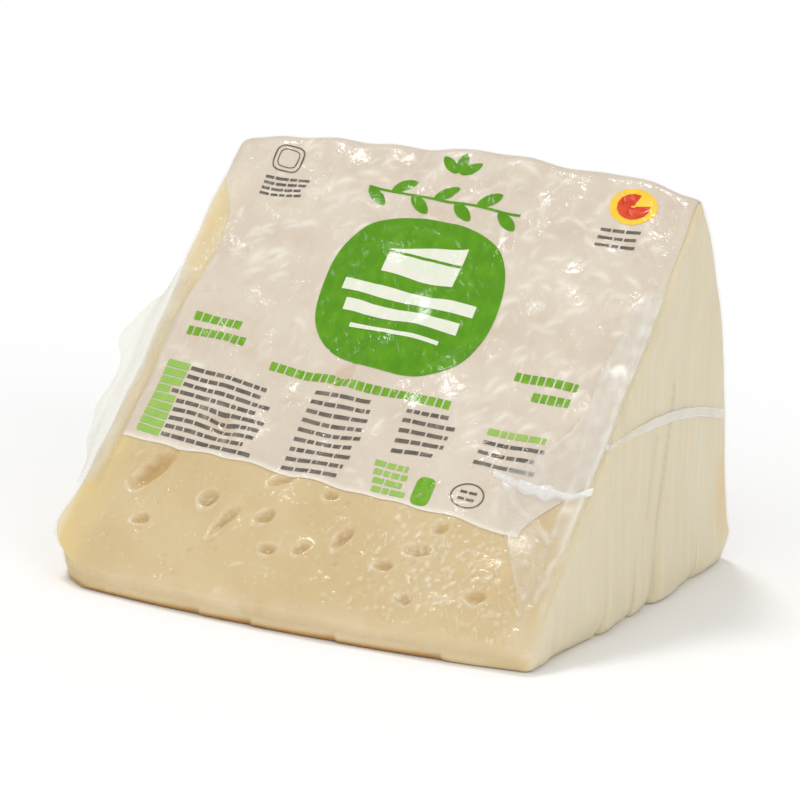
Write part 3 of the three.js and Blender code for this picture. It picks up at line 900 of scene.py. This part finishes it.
class StageSettings(bpy.types.PropertyGroup):
    floor: colour_setting("Floor", "The pale floor", linear(250, 250, 250))
    sky: bpy.props.FloatProperty(name="Sky", description="Strength of the light all round", default=0.64)
    sun: bpy.props.FloatProperty(name="Softboxes", description="Strength of the soft lights", default=1.0)
    lens: bpy.props.FloatProperty(
        name="Lens", description="Focal length of the camera", default=144.4, unit="CAMERA"
    )


# ---- Operators --------------------------------------------------------------------------------------
class CHEESE_OT_paste(bpy.types.Operator):
    """Build the wedge of paste with its eyes, golden edges and rind"""

    bl_idname = "cheese.paste"
    bl_label = "Paste"

    def execute(self, context):
        material = paste_material(context.scene.cheese_paste)
        make_piece("cheese", wedge_mesh(), place_paste, material)
        return {"FINISHED"}


def place_paste(grid):
    x, y, z = bend(*to_wedge(grid, -PASTE_SUNK), -PASTE_SUNK, PASTE_RELIEF)
    z = z - (PASTE_SUNK - FOOT_GAP) * fade(z, PASTE_SUNK, 3.5)
    return x, y, z, paste_zones(grid, x, y + TIP_TO_ORIGIN, z)


def paste_zones(grid, x, y, z):
    """How far each point of the paste lies in its hollows and dark foot, both painted shade, its golden
    edges, side and rind.
    """
    s, off = up_and_off(y, z)
    on_face = smoothstep(off, *FACE_SKIN) * smoothstep(z, 1, 6)
    wobble = waves(x, s, **WOBBLE)
    eyes = dents_of(x, s, EYE_PLACES, wobble)
    big = dents_of(x, s, EYE_PLACES[:1], wobble)
    pits = dents_of(x, s, BARE_PITS, wobble)
    uneven = 0.5 + 0.35 * waves(x, s, 12, 41)
    left = smoothstep(-x, 62, 76) * on_face * (0.5 + 0.5 * uneven)
    near_edge = smoothstep(np.abs(x), HALF - 7, HALF - 1) * 0.4
    at_tip = fade(y, 2, 26) * fade(x, 50, 56)
    # painted shade along the bottom of the tip, wider at its steps
    foot = fade(z, 0.5, 1.7 + 1.3 * foot_recess(x)) * at_tip
    side = smoothstep(x, HALF - 4, HALF) + smoothstep(-x, HALF - 4, HALF)
    lines = sum(share * near_line(y, z, line, 1.15) for share, line in END_LINES)
    off_middle = ((z - PATCH["up"]) / PATCH["high"]) ** 2
    patch = np.clip(1 - off_middle - ((y - PATCH["from_tip"]) / PATCH["long"]) ** 2, 0, 1)
    return {
        # painted shade along the right end face's creases
        "line": np.where(x > 0, lines, 0),
        "patch": 0.8 * (patch * smoothstep(x, HALF - 8, HALF)),
        # painted shade in the eyes and pits, strongest in the big eye
        "hollow": np.clip(np.maximum(0.36 * eyes + 0.64 * big, 0.25 * pits), 0, 1) * on_face,
        "edge": np.clip(np.maximum(left, near_edge), 0, 1),
        # painted shade at the foot of the tip
        "foot": np.clip(foot, 0, 1),
        "side": np.clip(side, 0, 1),
        "rind": smoothstep(grid[:, 1], 0.985, 1.0),
    }


class CHEESE_OT_film(bpy.types.Operator):
    """Build the clear film sucked tight round the paste"""

    bl_idname = "cheese.film"
    bl_label = "Film"

    def execute(self, context):
        material = film_material(context.scene.cheese_film)
        piece = make_piece("film", wedge_mesh(), place_film, material)
        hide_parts(NODE)
        return {"FINISHED"}


def place_film(grid):
    x, y, z = bend(*to_wedge(grid, 0), 0, FILM_RELIEF)
    return x, y, z, film_zones(x, y + TIP_TO_ORIGIN, z)


def film_zones(x, y, z):
    """How crinkled and how milky the taut film is at each point, with painted highlights: glints on its
    creases and the eyes' rims, and a sheen along the nose.
    """
    s, off = up_and_off(y, z)
    on_face = smoothstep(off, *FACE_SKIN)
    lower_right = smoothstep(x, 5, 40) * smoothstep(s, 4, 14) * fade(s, 40, 54)
    right_strip = 0.6 * smoothstep(x, 50, 74) * smoothstep(s, 54, 70)
    left_edge = 0.8 * smoothstep(-x, 66, 74) * smoothstep(s, 50, 122)
    near_ridge = 0.45 * smoothstep(s, 140, 168)
    crinkle = 0.36 + np.maximum.reduce([0.8 * lower_right, right_strip, left_edge, near_ridge])
    cloudy = lerp(0.6, 1, smoothstep(waves(x, z, 13, 8), -0.5, 0.8))
    # painted sheen: a paler milky band along the rounded nose
    nose = 0.25 * fade(s, 4, 12) * smoothstep(z, 1, 4) * cloudy
    corner = 0.4 * smoothstep(x, HALF - 14, HALF - 4) * fade(s, 14, 24) * smoothstep(z, 2, 6)
    beside = 0.3 * fade(x - 78 - off * 0.5, 0, 9) * smoothstep(x, 76, 78)
    wobble = waves(x, s, **WOBBLE)
    # painted highlights: a milky line on the eyes' rims, where they catch the light
    rims = 0.5 * rims_of(x, s, EYES, wobble) * (0.6 + 0.4 * waves(x, s, 4, 7))
    # painted highlights: milky glints on the creases of the bare paste
    glints = 0.68 * np.clip(strokes_of(x, s, BARE_CREASES) / 0.3, 0, 1)
    veil = 0.32 * smoothstep(-x, 65, 71) * smoothstep(s, 96, 118) * fade(s, 150, 162)
    # milky film, with the painted glints, rim highlights and nose sheen
    milk_and_glints = np.maximum.reduce([bright_lines(x, s, STREAKS), nose, corner, veil, rims, glints]) * on_face
    behind = 0.3 * smoothstep(y, RADIUS * 0.8, RADIUS * 0.9)
    behind = behind * fade(np.abs(x), HALF - 9, HALF - 3)
    return {"crinkle": np.where(on_face > 0.3, crinkle, 0.12 + behind), "milk_and_glints": np.maximum(milk_and_glints, beside)}


class CHEESE_OT_ear(bpy.types.Operator):
    """Build the ear of slack film that stands out along the left end"""

    bl_idname = "cheese.ear"
    bl_label = "Ear"

    def execute(self, context):
        settings = context.scene.cheese_film
        material = slack_film_material("slack_film", settings.ear, 0.25, 0.04, 0.35)
        make_sheet("film_ear", CELLS["ear"], place_ear, material)
        return {"FINISHED"}


def make_sheet(name, cells, place, material):
    make_piece(name, divided_cube(*cells, 1), place, material, sharp=70)


def milky(share):
    """What a piece of slack film is given to say how milky it is at each point."""
    return {"body": np.clip(share, 0, 1)}


def place_ear(grid):
    along = (grid[:, 1] + 1) / 2
    outward = (1 - grid[:, 0]) / 2
    s = lerp(EAR["low"], EAR["high"], along)
    reach = (hill(s, **EAR_PEAK) + hill(s, **EAR_HIP)) * np.sin(math.pi * along) ** 0.6
    reach = reach + outward * 0.5 * waves(s, s * 0, 14, 51)
    x = -HALF + EAR["root"] - outward * (EAR["root"] + reach)
    folds = 0.35 * np.sin(outward * 6 + s / 13) + 0.15 * np.sin(outward * 12 - s / 9)
    wave = outward * (EAR["wave"] * np.sin(s / 9) + folds) - EAR["curl"] * outward**2
    inside = -HALF - x + EAR["root"]
    on_edge = fade(inside, EAR["root"] - 3, EAR["root"] + 4)
    wave = wave * smoothstep(inside, EAR["root"] - 2, EAR["root"] + 4)
    rise = smoothstep(inside, 0, 1.5)
    height = wave + lerp(-1, EAR["lift"] * rise - 0.9 * (1 - rise), on_edge) + grid[:, 2] * EAR["half_thick"]
    stripe = 0.2 * near_line(inside, s, ((5, 20), (4.4, 60), (3, 110)), 2)
    ends = smoothstep(along, 0, 0.1) * smoothstep(along, 1, 0.9)
    body = lerp(0.74, 0.5, on_edge) + 0.08 * waves(x * 2, s, 16, 55)
    body = body + 0.22 * bright_lines(x, s, EAR_LINES)
    body = body + 0.1 * smoothstep(outward, 0.93, 1)
    body = (body - stripe) * smoothstep(inside, 0, 5) * lerp(0.3, 1, ends)
    return *on_slope(x, s, height), milky(body)


class CHEESE_OT_weld(bpy.types.Operator):
    """Build the weld that runs back across the right end face"""

    bl_idname = "cheese.weld"
    bl_label = "Weld"

    def execute(self, context):
        settings = context.scene.cheese_film
        material = slack_film_material("welded_film", settings.seam, 0.1, 0.03, 0.3)
        make_sheet("film_weld", CELLS["weld"], place_weld, material)
        return {"FINISHED"}


def place_weld(grid):
    along = (grid[:, 0] + 1) / 2
    across = grid[:, 1]
    from_tip = lerp(WELD["from"], WELD["to"], along)
    fall = WELD["fall"] * ((from_tip - WELD["top_at"]) / WELD["fall_over"]) ** 2
    wide = lerp(0.7, 1.3, smoothstep(along, 0, 0.4)) * WELD["wide"] / 2
    up = WELD["top"] - fall + across * wide + 0.1 * waves(from_tip, from_tip * 0, 16, 61)
    rim = np.exp(-(((np.abs(across) - 0.8) / 0.14) ** 2))
    edge = fade(np.abs(across), 0.86, 1.0)
    top = lerp(-WELD_SKIN["edge"], WELD_SKIN["proud"] + WELD_SKIN["rim"] * rim, edge)
    height = np.where(grid[:, 2] > 0, top, -WELD_SKIN["sunk"])
    body = (0.8 + 0.15 * rim) * edge * lerp(0.35, 1, smoothstep(along, 0.02, 0.3))
    body = body * smoothstep(along, 1, 0.94)
    return *on_right_end(from_tip, up, height), milky(body)


class CHEESE_OT_flap(bpy.types.Operator):
    """Build the fold of film along the right edge and the flap it throws forward, with its crinkled seam"""

    bl_idname = "cheese.flap"
    bl_label = "Flap"

    def execute(self, context):
        settings = context.scene.cheese_film
        sheet = slack_film_material("flap_film", settings.tint, 0.2, 0.04, 0.25)
        make_sheet("film_flap", CELLS["flap"], place_flap, sheet)
        seam = slack_film_material("seam_film", settings.seam, 0.05, 0.06, 0.2)
        make_sheet("film_seam", CELLS["seam"], place_seam, seam)
        return {"FINISHED"}


def x_of_line(s, points):
    """Where along X a line of rising places in x and s passes each s."""
    line_x, line_s = zip(*points)
    return np.interp(s, line_s, line_x)


def place_flap(grid):
    outward = (1 - grid[:, 0]) / 2
    s = lerp(FLAP["low"], FLAP["high"], (grid[:, 1] + 1) / 2)
    x = lerp(HALF - 1.2, x_of_line(s, FLAP_BORDER), outward)
    bent_x, bent_s = x + 0.35 * waves(x, s, 9, 83), s + 0.35 * waves(x, s, 7, 84)
    crest = bright_lines(bent_x, bent_s, [(share, CREST_WIDE, way) for share, way in CRESTS.values()])
    crest = crest * np.clip(0.8 + 0.25 * waves(x, s, 7, 85), 0, 1)
    border = smoothstep(outward, 1, 0.93) * smoothstep(outward, 0, 0.06)
    border = border * smoothstep(s, FLAP["low"], 30) * smoothstep(s, FLAP["high"], 128)
    fold_left = x_of_line(s, CRESTS["fold_left"][1])
    diagonal = np.interp(x, *zip(*CRESTS["diagonal"][1]))
    above_seam = smoothstep(s - seam_place(x), -0.5, 0.5)
    below_diagonal = fade(s - diagonal, -0.6, 0.6)
    # How milky the flap's three fields are, split by the diagonal and the seam, and then the fold.
    flap = lerp(lerp(0.08, 0.3, below_diagonal), 0.42, above_seam)
    fold = 0.4 * smoothstep(s, 40, 52) + 0.2
    area = lerp(flap, fold, smoothstep(x - fold_left, -0.7, 0.7))
    height = lerp(-0.28, FLAP["float"] + 0.12 * waves(x, s, 9, 81) + FLAP["crest"] * crest, border)
    body = (area * (1 + 0.2 * waves(x, s, 6, 82)) + (0.95 - area) * crest) * border
    return *on_slope(x, s, np.where(grid[:, 2] > 0, height, -FLAP["sunk"])), milky(body)


def seam_place(x):
    """How far up the slope the crinkled seam runs."""
    along = np.clip((x - FLAP["tip_x"]) / (HALF - FLAP["tip_x"]), 0, 1)
    climb = SEAM["climb_left"] * (1 - along) ** 2
    return SEAM["s"] + climb + SEAM["climb_right"] * smoothstep(along, 0.72, 1)


def place_seam(grid):
    along = (grid[:, 0] + 1) / 2
    x = lerp(FLAP["tip_x"] - 0.5, HALF - 0.8, along)
    half = SEAM["wide"] / 2 + 0.85 * np.sin(math.pi * np.clip(along * 1.15, 0, 1))
    half = half * (1 + 0.25 * waves(x, x * 0, 6, 92))
    s = seam_place(x) + 0.55 * waves(x, x * 0, 9, 91) + grid[:, 1] * half
    ridge = SEAM["proud"] + 0.25 * waves(x, s, 3.5, 93) - SEAM["proud"] * grid[:, 1] ** 2
    return *on_slope(x, s, np.where(grid[:, 2] > 0, ridge, -SEAM["sunk"])), milky(np.full_like(x, 0.9))


# ---- The print --------------------------------------------------------------------------------------
PRINT_TILT = -0.068  # the print runs down to the right against the tip edge
PRINT_SAG = 0.00013  # and sags in the middle, by this for each millimetre squared
PANEL = {"base": 49, "down_the_rind": 36, "right": 76.5, "corner_cut": 15, "corner": (46, 70)}
PANEL_LEFT = {"s": (48, 96, 112, 125, 140, 149, 158), "x": (-71, -72, -69.3, -68.3, -70.5, -74.5, -78)}


def printed(x, base):
    """Where a place of the print lies up the slope: base is its place at the middle of the length."""
    return base + PRINT_TILT * x + PRINT_SAG * x * x


def lay(bm, shape, sunk, name, material):
    """Lays thin closed shapes on the pack; shape takes two grid coordinates to x, s and attributes."""

    def place(grid):
        x, s, attributes = shape(grid[:, 0], grid[:, 1])
        return *unrolled(x, s, -np.where(grid[:, 2] > 0, sunk[1], sunk[0]), PRINT_RELIEF), attributes

    make_piece(name, bm, place, material, sharp=50)


def panel_zones(x, s, v):
    """How far each point of the panel lies in a dent, painted as tan shade, and how far on a crease, painted
    as a pale glint, or on its lower border.
    """
    wobble = waves(x, s, **WOBBLE)
    soft = dents_of(x, s, SOFT_DENTS, wobble) / 0.38
    eyes = dents_of(x, s, EYE_PLACES, wobble)
    strokes = np.clip(strokes_of(x, s, PANEL_CREASES) / 0.16, 0, 1)
    border = fade(v, -1, -0.975)
    return {
        # painted tan shade in the dents
        "dent": np.clip(np.maximum(0.35 * soft, 0.6 * eyes), 0, 1),
        # painted pale glints on the panel's creases, with a pale line along its lower border
        "stroke": 0.8 * np.maximum(strokes, border),
    }


def panel_shape(u, v):
    top = RIDGE_S + EDGE_ROUND * 2 + PANEL["down_the_rind"]
    share = (v + 1) / 2
    rough_x = u * (HALF - 2)
    low = printed(rough_x, PANEL["base"]) + 0.25 * waves(rough_x, rough_x * 0, 14, 101)
    s = lerp(straightened(rough_x, low), top, share)
    left = sum(np.interp(s + 3 * k, PANEL_LEFT["s"], PANEL_LEFT["x"]) for k in (-1, 0, 1)) / 3
    left = left + 0.2 * waves(s, s * 0, 12, 102)
    right = PANEL["right"] - PANEL["corner_cut"] * fade(s, *PANEL["corner"])
    x = lerp(left, right, (u + 1) / 2)
    return x, s, panel_zones(x, s, v)


def ring_reach(turn, wide, high, power):
    """How far a rounded oblong reaches in a direction; a power of 2 is an ellipse."""
    return (np.abs(np.cos(turn) / wide) ** power + np.abs(np.sin(turn) / high) ** power) ** (-1 / power)


class Marks:
    """Flat marks of one ink, gathered as cubes of a grid and then laid on the pack together."""

    def __init__(self):
        self.bm = bmesh.new()

    def add(self, cells_x, cells_y, shape):
        """Adds a sheet of cells whose corners shape takes to x and base, both in millimetres."""
        part = divided_cube(cells_x, cells_y, 1)
        mesh = bpy.data.meshes.new("part")
        part.to_mesh(mesh)
        part.free()
        grid = grid_of(mesh)
        x, base = shape(grid[:, 0], grid[:, 1])
        points = np.column_stack((x, base, grid[:, 2]))
        mesh.vertices.foreach_set("co", points.ravel())
        self.bm.from_mesh(mesh)
        bpy.data.meshes.remove(mesh)

    def bar(self, x, base, wide, high, slant=0):
        def shape(u, v):
            across = u * wide / 2
            return x + across, base + v * high / 2 + slant * across

        self.add(max(1, round(wide / MARK_CELL)), max(1, round(high / MARK_CELL)), shape)

    def oval(self, x, base, wide, high, power=2, lean=0):
        turn_by = math.radians(lean)

        def shape(u, v):
            ring = np.maximum(np.abs(u), np.abs(v))
            turn = np.arctan2(v, u)
            reach = ring * ring_reach(turn, wide / 2, high / 2, power)
            return x + reach * np.cos(turn + turn_by), base + reach * np.sin(turn + turn_by)

        cells = max(6, 2 * round(max(wide, high) * 0.6))
        self.add(cells, cells, shape)

    def loop(self, x, base, wide, high, line, power=2, start=0, turns=1.0):
        """A line that follows a rounded oblong, all the way round or over a part of it."""

        def shape(u, v):
            turn = start + math.pi * turns * (u + 1)
            reach = ring_reach(turn, wide / 2, high / 2, power) - v * line / 2
            return x + reach * np.cos(turn), base + reach * np.sin(turn)

        self.add(max(12, round((wide + high) * turns * 1.3)), max(1, round(line / MARK_CELL)), shape)

    def lay(self, name, ink, worn, sunk=INK_SUNK):
        """Lays the marks on the pack in their ink, as one piece."""
        material = ink_material(name + "_ink", ink, worn)
        lay(self.bm, self.on_pack, sunk, "print_" + name, material)

    @staticmethod
    def on_pack(x, base):
        return x, straightened(x, printed(x, base)), {}


def dash_row(marks, draw, x_from, x_to, base, high, long=(1.6, 5.5), gap=0.6, slant=0):
    """A row of dashes of uneven length."""
    x = x_from
    while x < x_to - long[0] / 2:
        wide = min(draw.uniform(*long), x_to - x)
        marks.bar(x + wide / 2, base + slant * (x + wide / 2 - x_from), wide, high, slant)
        x += wide + gap


class CHEESE_OT_panel(bpy.types.Operator):
    """Build the milky white panel printed on the film"""

    bl_idname = "cheese.panel"
    bl_label = "Printed panel"

    def execute(self, context):
        material = panel_material(context.scene.cheese_print)
        lay(divided_cube(*CELLS["panel"], 1), panel_shape, PANEL_SUNK, "print_panel", material)
        return {"FINISHED"}


FIELD = {"x": -0.4, "base": 119.5, "wide": 57.6, "high": 57, "power": 2.6}  # the green field
FIELD_BARS = ((1, 44, 4.2), (8, 38, 4.2), (14.5, 30, 1.5))  # how far under its middle, width and height
WEDGE_PICTURE = {"half": 12, "up": 6, "slab": 7.5, "gap": 1, "low": 0.4, "rise": 6}  # up: over its middle
SPRIG = {"x": -2.5, "base": 155.5, "long": 52, "stem": 0.9, "leaves": 7, "leaf": (9, 4)}
SPRIG_LEAF = {"aside": 3, "lean": 38}  # each leaf stands on one side or the other of the stem
BUD = {"x": -1.5, "base": 166, "out": 4.6, "leaf": (8, 3.6), "leans": (40, 90, 140)}  # above the sprig
LEAF_POWER = 1.7  # makes an oval's ends pointed
ROUND_MARK = {"x": 57.2, "base": 166.4, "wide": 15, "high": 13}
# The cut wheel on it is a broad line: how wide and high its middle is, how broad it is, where it starts
# and how far round it goes.
WHEEL = {"wide": 6, "high": 5.2, "line": 4.4, "start": math.radians(75), "turns": 0.84}

# Rows of heavy green dashes: first x, last x, and base; and the tall block beside them.
WORD_ROWS = ((-65.6, -48.6, 95.6), (-66, -45.6, 90.2), (-34, 28, 84.2), (42, 62, 99.6), (49.5, 61.5, 93.8))
WORD_DASH = {"high": 3, "long": (1.6, 2.6)}
WORD_BLOCK = {"x": 29.8, "base": 53.8, "wide": 6, "high": 9.6, "power": 4}


class CHEESE_OT_marks(bpy.types.Operator):
    """Build the green field, the sprig, the round mark and the other coloured shapes"""

    bl_idname = "cheese.marks"
    bl_label = "Coloured marks"

    def execute(self, context):
        inks = context.scene.cheese_print
        green, words, white = Marks(), Marks(), Marks()
        green.oval(**FIELD)
        self.draw_sprig(green)
        self.draw_words(words)
        for drop, wide, high in FIELD_BARS:
            white.bar(FIELD["x"], FIELD["base"] - drop, wide, high)
        self.draw_wedge(white)
        yellow, red = Marks(), Marks()
        yellow.oval(**ROUND_MARK)
        red.loop(ROUND_MARK["x"], ROUND_MARK["base"], **WHEEL)
        green.lay("green", inks.green, linear(96, 158, 8))
        words.lay("words", inks.words, linear(126, 178, 52))
        white.lay("white", inks.white, inks.panel_pale_and_glints, OVERPRINT_SUNK)
        yellow.lay("yellow", inks.yellow, linear(252, 214, 80))
        red.lay("red", inks.red, linear(226, 92, 50), OVERPRINT_SUNK)
        return {"FINISHED"}

    @staticmethod
    def draw_sprig(green):
        green.bar(SPRIG["x"], SPRIG["base"], SPRIG["long"], SPRIG["stem"])
        for leaf in range(SPRIG["leaves"]):
            side = 1 if leaf % 2 else -1
            x = SPRIG["x"] + SPRIG["long"] * ((leaf + 0.5) / SPRIG["leaves"] - 0.5)
            base = SPRIG["base"] + side * SPRIG_LEAF["aside"]
            green.oval(x, base, *SPRIG["leaf"], LEAF_POWER, SPRIG_LEAF["lean"] * side)
        for lean in BUD["leans"]:
            turn = math.radians(lean)
            place = (BUD["x"] + BUD["out"] * math.cos(turn), BUD["base"] + BUD["out"] * math.sin(turn))
            green.oval(*place, *BUD["leaf"], LEAF_POWER, lean)

    @staticmethod
    def draw_words(words):
        draw = np.random.default_rng(7)
        for first, last, base in WORD_ROWS:
            dash_row(words, draw, first, last, base, **WORD_DASH)
        words.oval(**WORD_BLOCK)

    @staticmethod
    def draw_wedge(white):
        """A plain picture of a wedge of cheese: a slab under a top that rises to the right."""
        left, right = FIELD["x"] - WEDGE_PICTURE["half"], FIELD["x"] + WEDGE_PICTURE["half"]
        low = FIELD["base"] + WEDGE_PICTURE["up"]
        top_low = low + (WEDGE_PICTURE["slab"] + WEDGE_PICTURE["gap"])

        def slab(u, v):
            return lerp(left, right, (u + 1) / 2), low + (v + 1) / 2 * WEDGE_PICTURE["slab"]

        def top(u, v):
            share = (u + 1) / 2
            high = WEDGE_PICTURE["low"] + WEDGE_PICTURE["rise"] * share
            return lerp(left, right, share), top_low + (v + 1) / 2 * high

        white.add(22, 8, slab)
        white.add(22, 8, top)


# Columns of small lines: first x, last x, base of the top line, pitch, how many lines, and their slant.
COLUMNS = (
    (-67.4, -25, 77.3, 3, 9, -0.05),
    (-16, 4.5, 78.6, 3.45, 9, 0.07),
    (15, 31, 78.8, 3.45, 5, 0.1),
    (40.5, 60, 79.5, 3.9, 4, 0.02),
)
TAG = {"long": 8, "short": 5, "short_line": 3, "high": 2.5, "gap": 0.7}  # before the first column
LINE_HIGH = {"dark": 1.35, "light": 2.2}
# Blocks of small lines: first x, last x, base of the top line, pitch, how far aside each line starts from
# the last, how high a line is, its dashes' lengths, and its slant.
BLOCKS = {
    "light": (12, 22.6, 59.8, 2.9, 0.7, 1.9, (1.6, 5.5), 0),
    "upper_left": (-64, -48.5, 151.2, 2, 0, 0.95, (2, 5), 0.06),
    "upper_right": (49.5, 62.5, 157, 2.9, 0, 1.1, (2, 5), 0.04),
    "in_oval": (40.4, 45.6, 57.3, 2.4, 0, 0.9, (1.5, 3), 0),
}
# Rings: middle, width, height, width of the line, and how square they are.
RINGS = ((-58.8, 159, 9.4, 9.4, 0.5, 4), (-58.8, 159, 6.6, 6.6, 0.35, 4), (43, 56.1, 10, 8.4, 0.45, 2))


def block_row(marks, draw, name, line):
    """Draws one line of a block."""
    first, last, top, pitch, aside, high, long, slant = BLOCKS[name]
    dash_row(
        marks, draw, first + line * aside, last + line * aside, top - line * pitch, high, long, slant=slant
    )


class CHEESE_OT_lines(bpy.types.Operator):
    """Build the rows of small dark dashes with their light green tags"""

    bl_idname = "cheese.lines"
    bl_label = "Small lines"

    def execute(self, context):
        inks = context.scene.cheese_print
        draw = np.random.default_rng(5)
        dark, light = Marks(), Marks()
        for column, (first, last, top, pitch, lines, slant) in enumerate(COLUMNS):
            for line in range(lines):
                base = top - line * pitch
                end = last - draw.uniform(0, 0.18) * (last - first)
                tag = 0
                if column == 0:
                    tag = TAG["short"] if line == TAG["short_line"] else TAG["long"]
                    light.bar(first + tag / 2, base + slant * tag / 2, tag, TAG["high"], slant)
                    tag += TAG["gap"]
                heads_last = column == len(COLUMNS) - 1 and line == 0
                marks, high = (light, LINE_HIGH["light"]) if heads_last else (dark, LINE_HIGH["dark"])
                dash_row(marks, draw, first + tag, end, base + slant * tag, high, slant=slant)
        for line in range(4):
            block_row(light, draw, "light", line)
            block_row(dark, draw, "upper_left", line)
        for line in range(3):
            block_row(dark, draw, "upper_right", line)
        for ring in RINGS:
            dark.loop(*ring)
        for line in range(2):
            block_row(dark, draw, "in_oval", line)
        dark.lay("dark", inks.dark, linear(126, 118, 108))
        light.lay("light", inks.light_green, linear(156, 192, 96))
        return {"FINISHED"}


# ---- The stage --------------------------------------------------------------------------------------
CAMERA = {"azimuth": 23.84, "elevation": 11.65, "roll": 4.24, "away": 970.09, "shift": (-2.02, -3.47)}
AIM = (0, -4, 55)  # millimetres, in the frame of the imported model
FRAME_SIDE = 800  # the photograph's side in pixels, which the shift is given in
SENSOR = 36  # millimetres
CLIP = (0.05, 50)  # metres
FLOOR = {"half": 6, "under": 0.0001}  # metres
# Each light: where it comes from, how wide it looks in degrees, and its strength.
LIGHTS = {
    "key": ((-0.3, 0.15, 0.93), 12, 0.85),
    "fill": ((0.75, -0.5, 0.43), 30, 0.5),
    "front": ((-0.2, -0.9, 0.4), 60, 0.75),
}


class CHEESE_OT_stage(bpy.types.Operator):
    """Build the pale floor, the soft lights and the camera"""

    bl_idname = "cheese.stage"
    bl_label = "Stage"

    def execute(self, context):
        settings = context.scene.cheese_stage
        self.build_floor(settings)
        self.build_lights(context, settings)
        self.build_camera(context, settings)
        return {"FINISHED"}

    @staticmethod
    def build_floor(settings):
        bm = bmesh.new()
        bmesh.ops.create_grid(bm, x_segments=2, y_segments=2, size=FLOOR["half"])
        bmesh.ops.translate(bm, verts=bm.verts, vec=(0, 0, -FLOOR["under"]))
        mesh = bpy.data.meshes.new("floor")
        bm.to_mesh(mesh)
        bm.free()
        nodes = Nodes("pale_floor")
        shader = nodes.add("ShaderNodeBsdfPrincipled", Base_Color=(*settings.floor, 1), Roughness=0.9)
        mesh.materials.append(nodes.finish(shader.outputs[0]))
        floor = bpy.data.objects.new("floor", mesh)
        bpy.context.scene.collection.objects.link(floor)

    @staticmethod
    def build_lights(context, settings):
        world = bpy.data.worlds.new("studio")
        world.use_nodes = True
        sky = world.node_tree.nodes["Background"]
        sky.inputs["Color"].default_value = (1, 1, 1, 1)
        sky.inputs["Strength"].default_value = settings.sky
        context.scene.world = world
        for name, (place, wide, strength) in LIGHTS.items():
            data = bpy.data.lights.new(name, "SUN")
            data.angle = math.radians(wide)
            data.energy = settings.sun * strength
            light = bpy.data.objects.new(name, data)
            light.location = place
            light.rotation_euler = (-light.location).to_track_quat("-Z", "Y").to_euler()
            context.scene.collection.objects.link(light)

    @staticmethod
    def build_camera(context, settings):
        azimuth, elevation, roll = (math.radians(CAMERA[k]) for k in ("azimuth", "elevation", "roll"))
        back = Vector((
            math.sin(azimuth) * math.cos(elevation),
            -math.cos(azimuth) * math.cos(elevation),
            math.sin(elevation),
        ))
        right = Vector((math.cos(azimuth), math.sin(azimuth), 0))
        up = back.cross(right)
        rolled_right = right * math.cos(roll) + up * math.sin(roll)
        rolled_up = up * math.cos(roll) - right * math.sin(roll)
        data = bpy.data.cameras.new("camera")
        data.lens = settings.lens
        data.sensor_width = SENSOR
        data.shift_x = CAMERA["shift"][0] / FRAME_SIDE
        data.shift_y = CAMERA["shift"][1] / FRAME_SIDE
        data.clip_start, data.clip_end = CLIP
        camera = bpy.data.objects.new("camera", data)
        place = Vector(AIM) * MM + back * CAMERA["away"] * MM
        turned = Matrix((rolled_right, rolled_up, back)).transposed().to_4x4()
        camera.matrix_world = Matrix.Translation(place) @ turned
        context.scene.collection.objects.link(camera)
        context.scene.camera = camera
        context.scene.view_settings.view_transform = "Standard"


class CHEESE_PT_sidebar(bpy.types.Panel):
    """Lists the pieces of the pack"""

    bl_idname = "CHEESE_PT_sidebar"
    bl_label = "Vacuum-packed cheese"
    bl_space_type = "VIEW_3D"
    bl_region_type = "UI"
    bl_category = "Cheese"

    def draw(self, context):
        for operator in OPERATORS:
            self.layout.operator(operator.bl_idname)
        for group in SETTINGS:
            box = self.layout.box()
            held = getattr(context.scene, group)
            for name in held.__annotations__:
                box.prop(held, name)


SETTINGS = {
    "cheese_paste": PasteSettings,
    "cheese_film": FilmSettings,
    "cheese_print": PrintSettings,
    "cheese_stage": StageSettings,
}
OPERATORS = (
    CHEESE_OT_stage,
    CHEESE_OT_paste,
    CHEESE_OT_panel,
    CHEESE_OT_marks,
    CHEESE_OT_lines,
    CHEESE_OT_film,
    CHEESE_OT_ear,
    CHEESE_OT_weld,
    CHEESE_OT_flap,
)


def register():
    for group in SETTINGS.values():
        bpy.utils.register_class(group)
    for operator in OPERATORS:
        bpy.utils.register_class(operator)
    bpy.utils.register_class(CHEESE_PT_sidebar)
    for name, group in SETTINGS.items():
        setattr(bpy.types.Scene, name, bpy.props.PointerProperty(type=group))


def unregister():
    for name in SETTINGS:
        delattr(bpy.types.Scene, name)
    bpy.utils.unregister_class(CHEESE_PT_sidebar)
    for operator in reversed(OPERATORS):
        bpy.utils.unregister_class(operator)
    for group in reversed(SETTINGS.values()):
        bpy.utils.unregister_class(group)


def main():
    register()
    for operator in OPERATORS:
        group, name = operator.bl_idname.split(".")
        getattr(getattr(bpy.ops, group), name)()


if __name__ == "__main__":
    main()
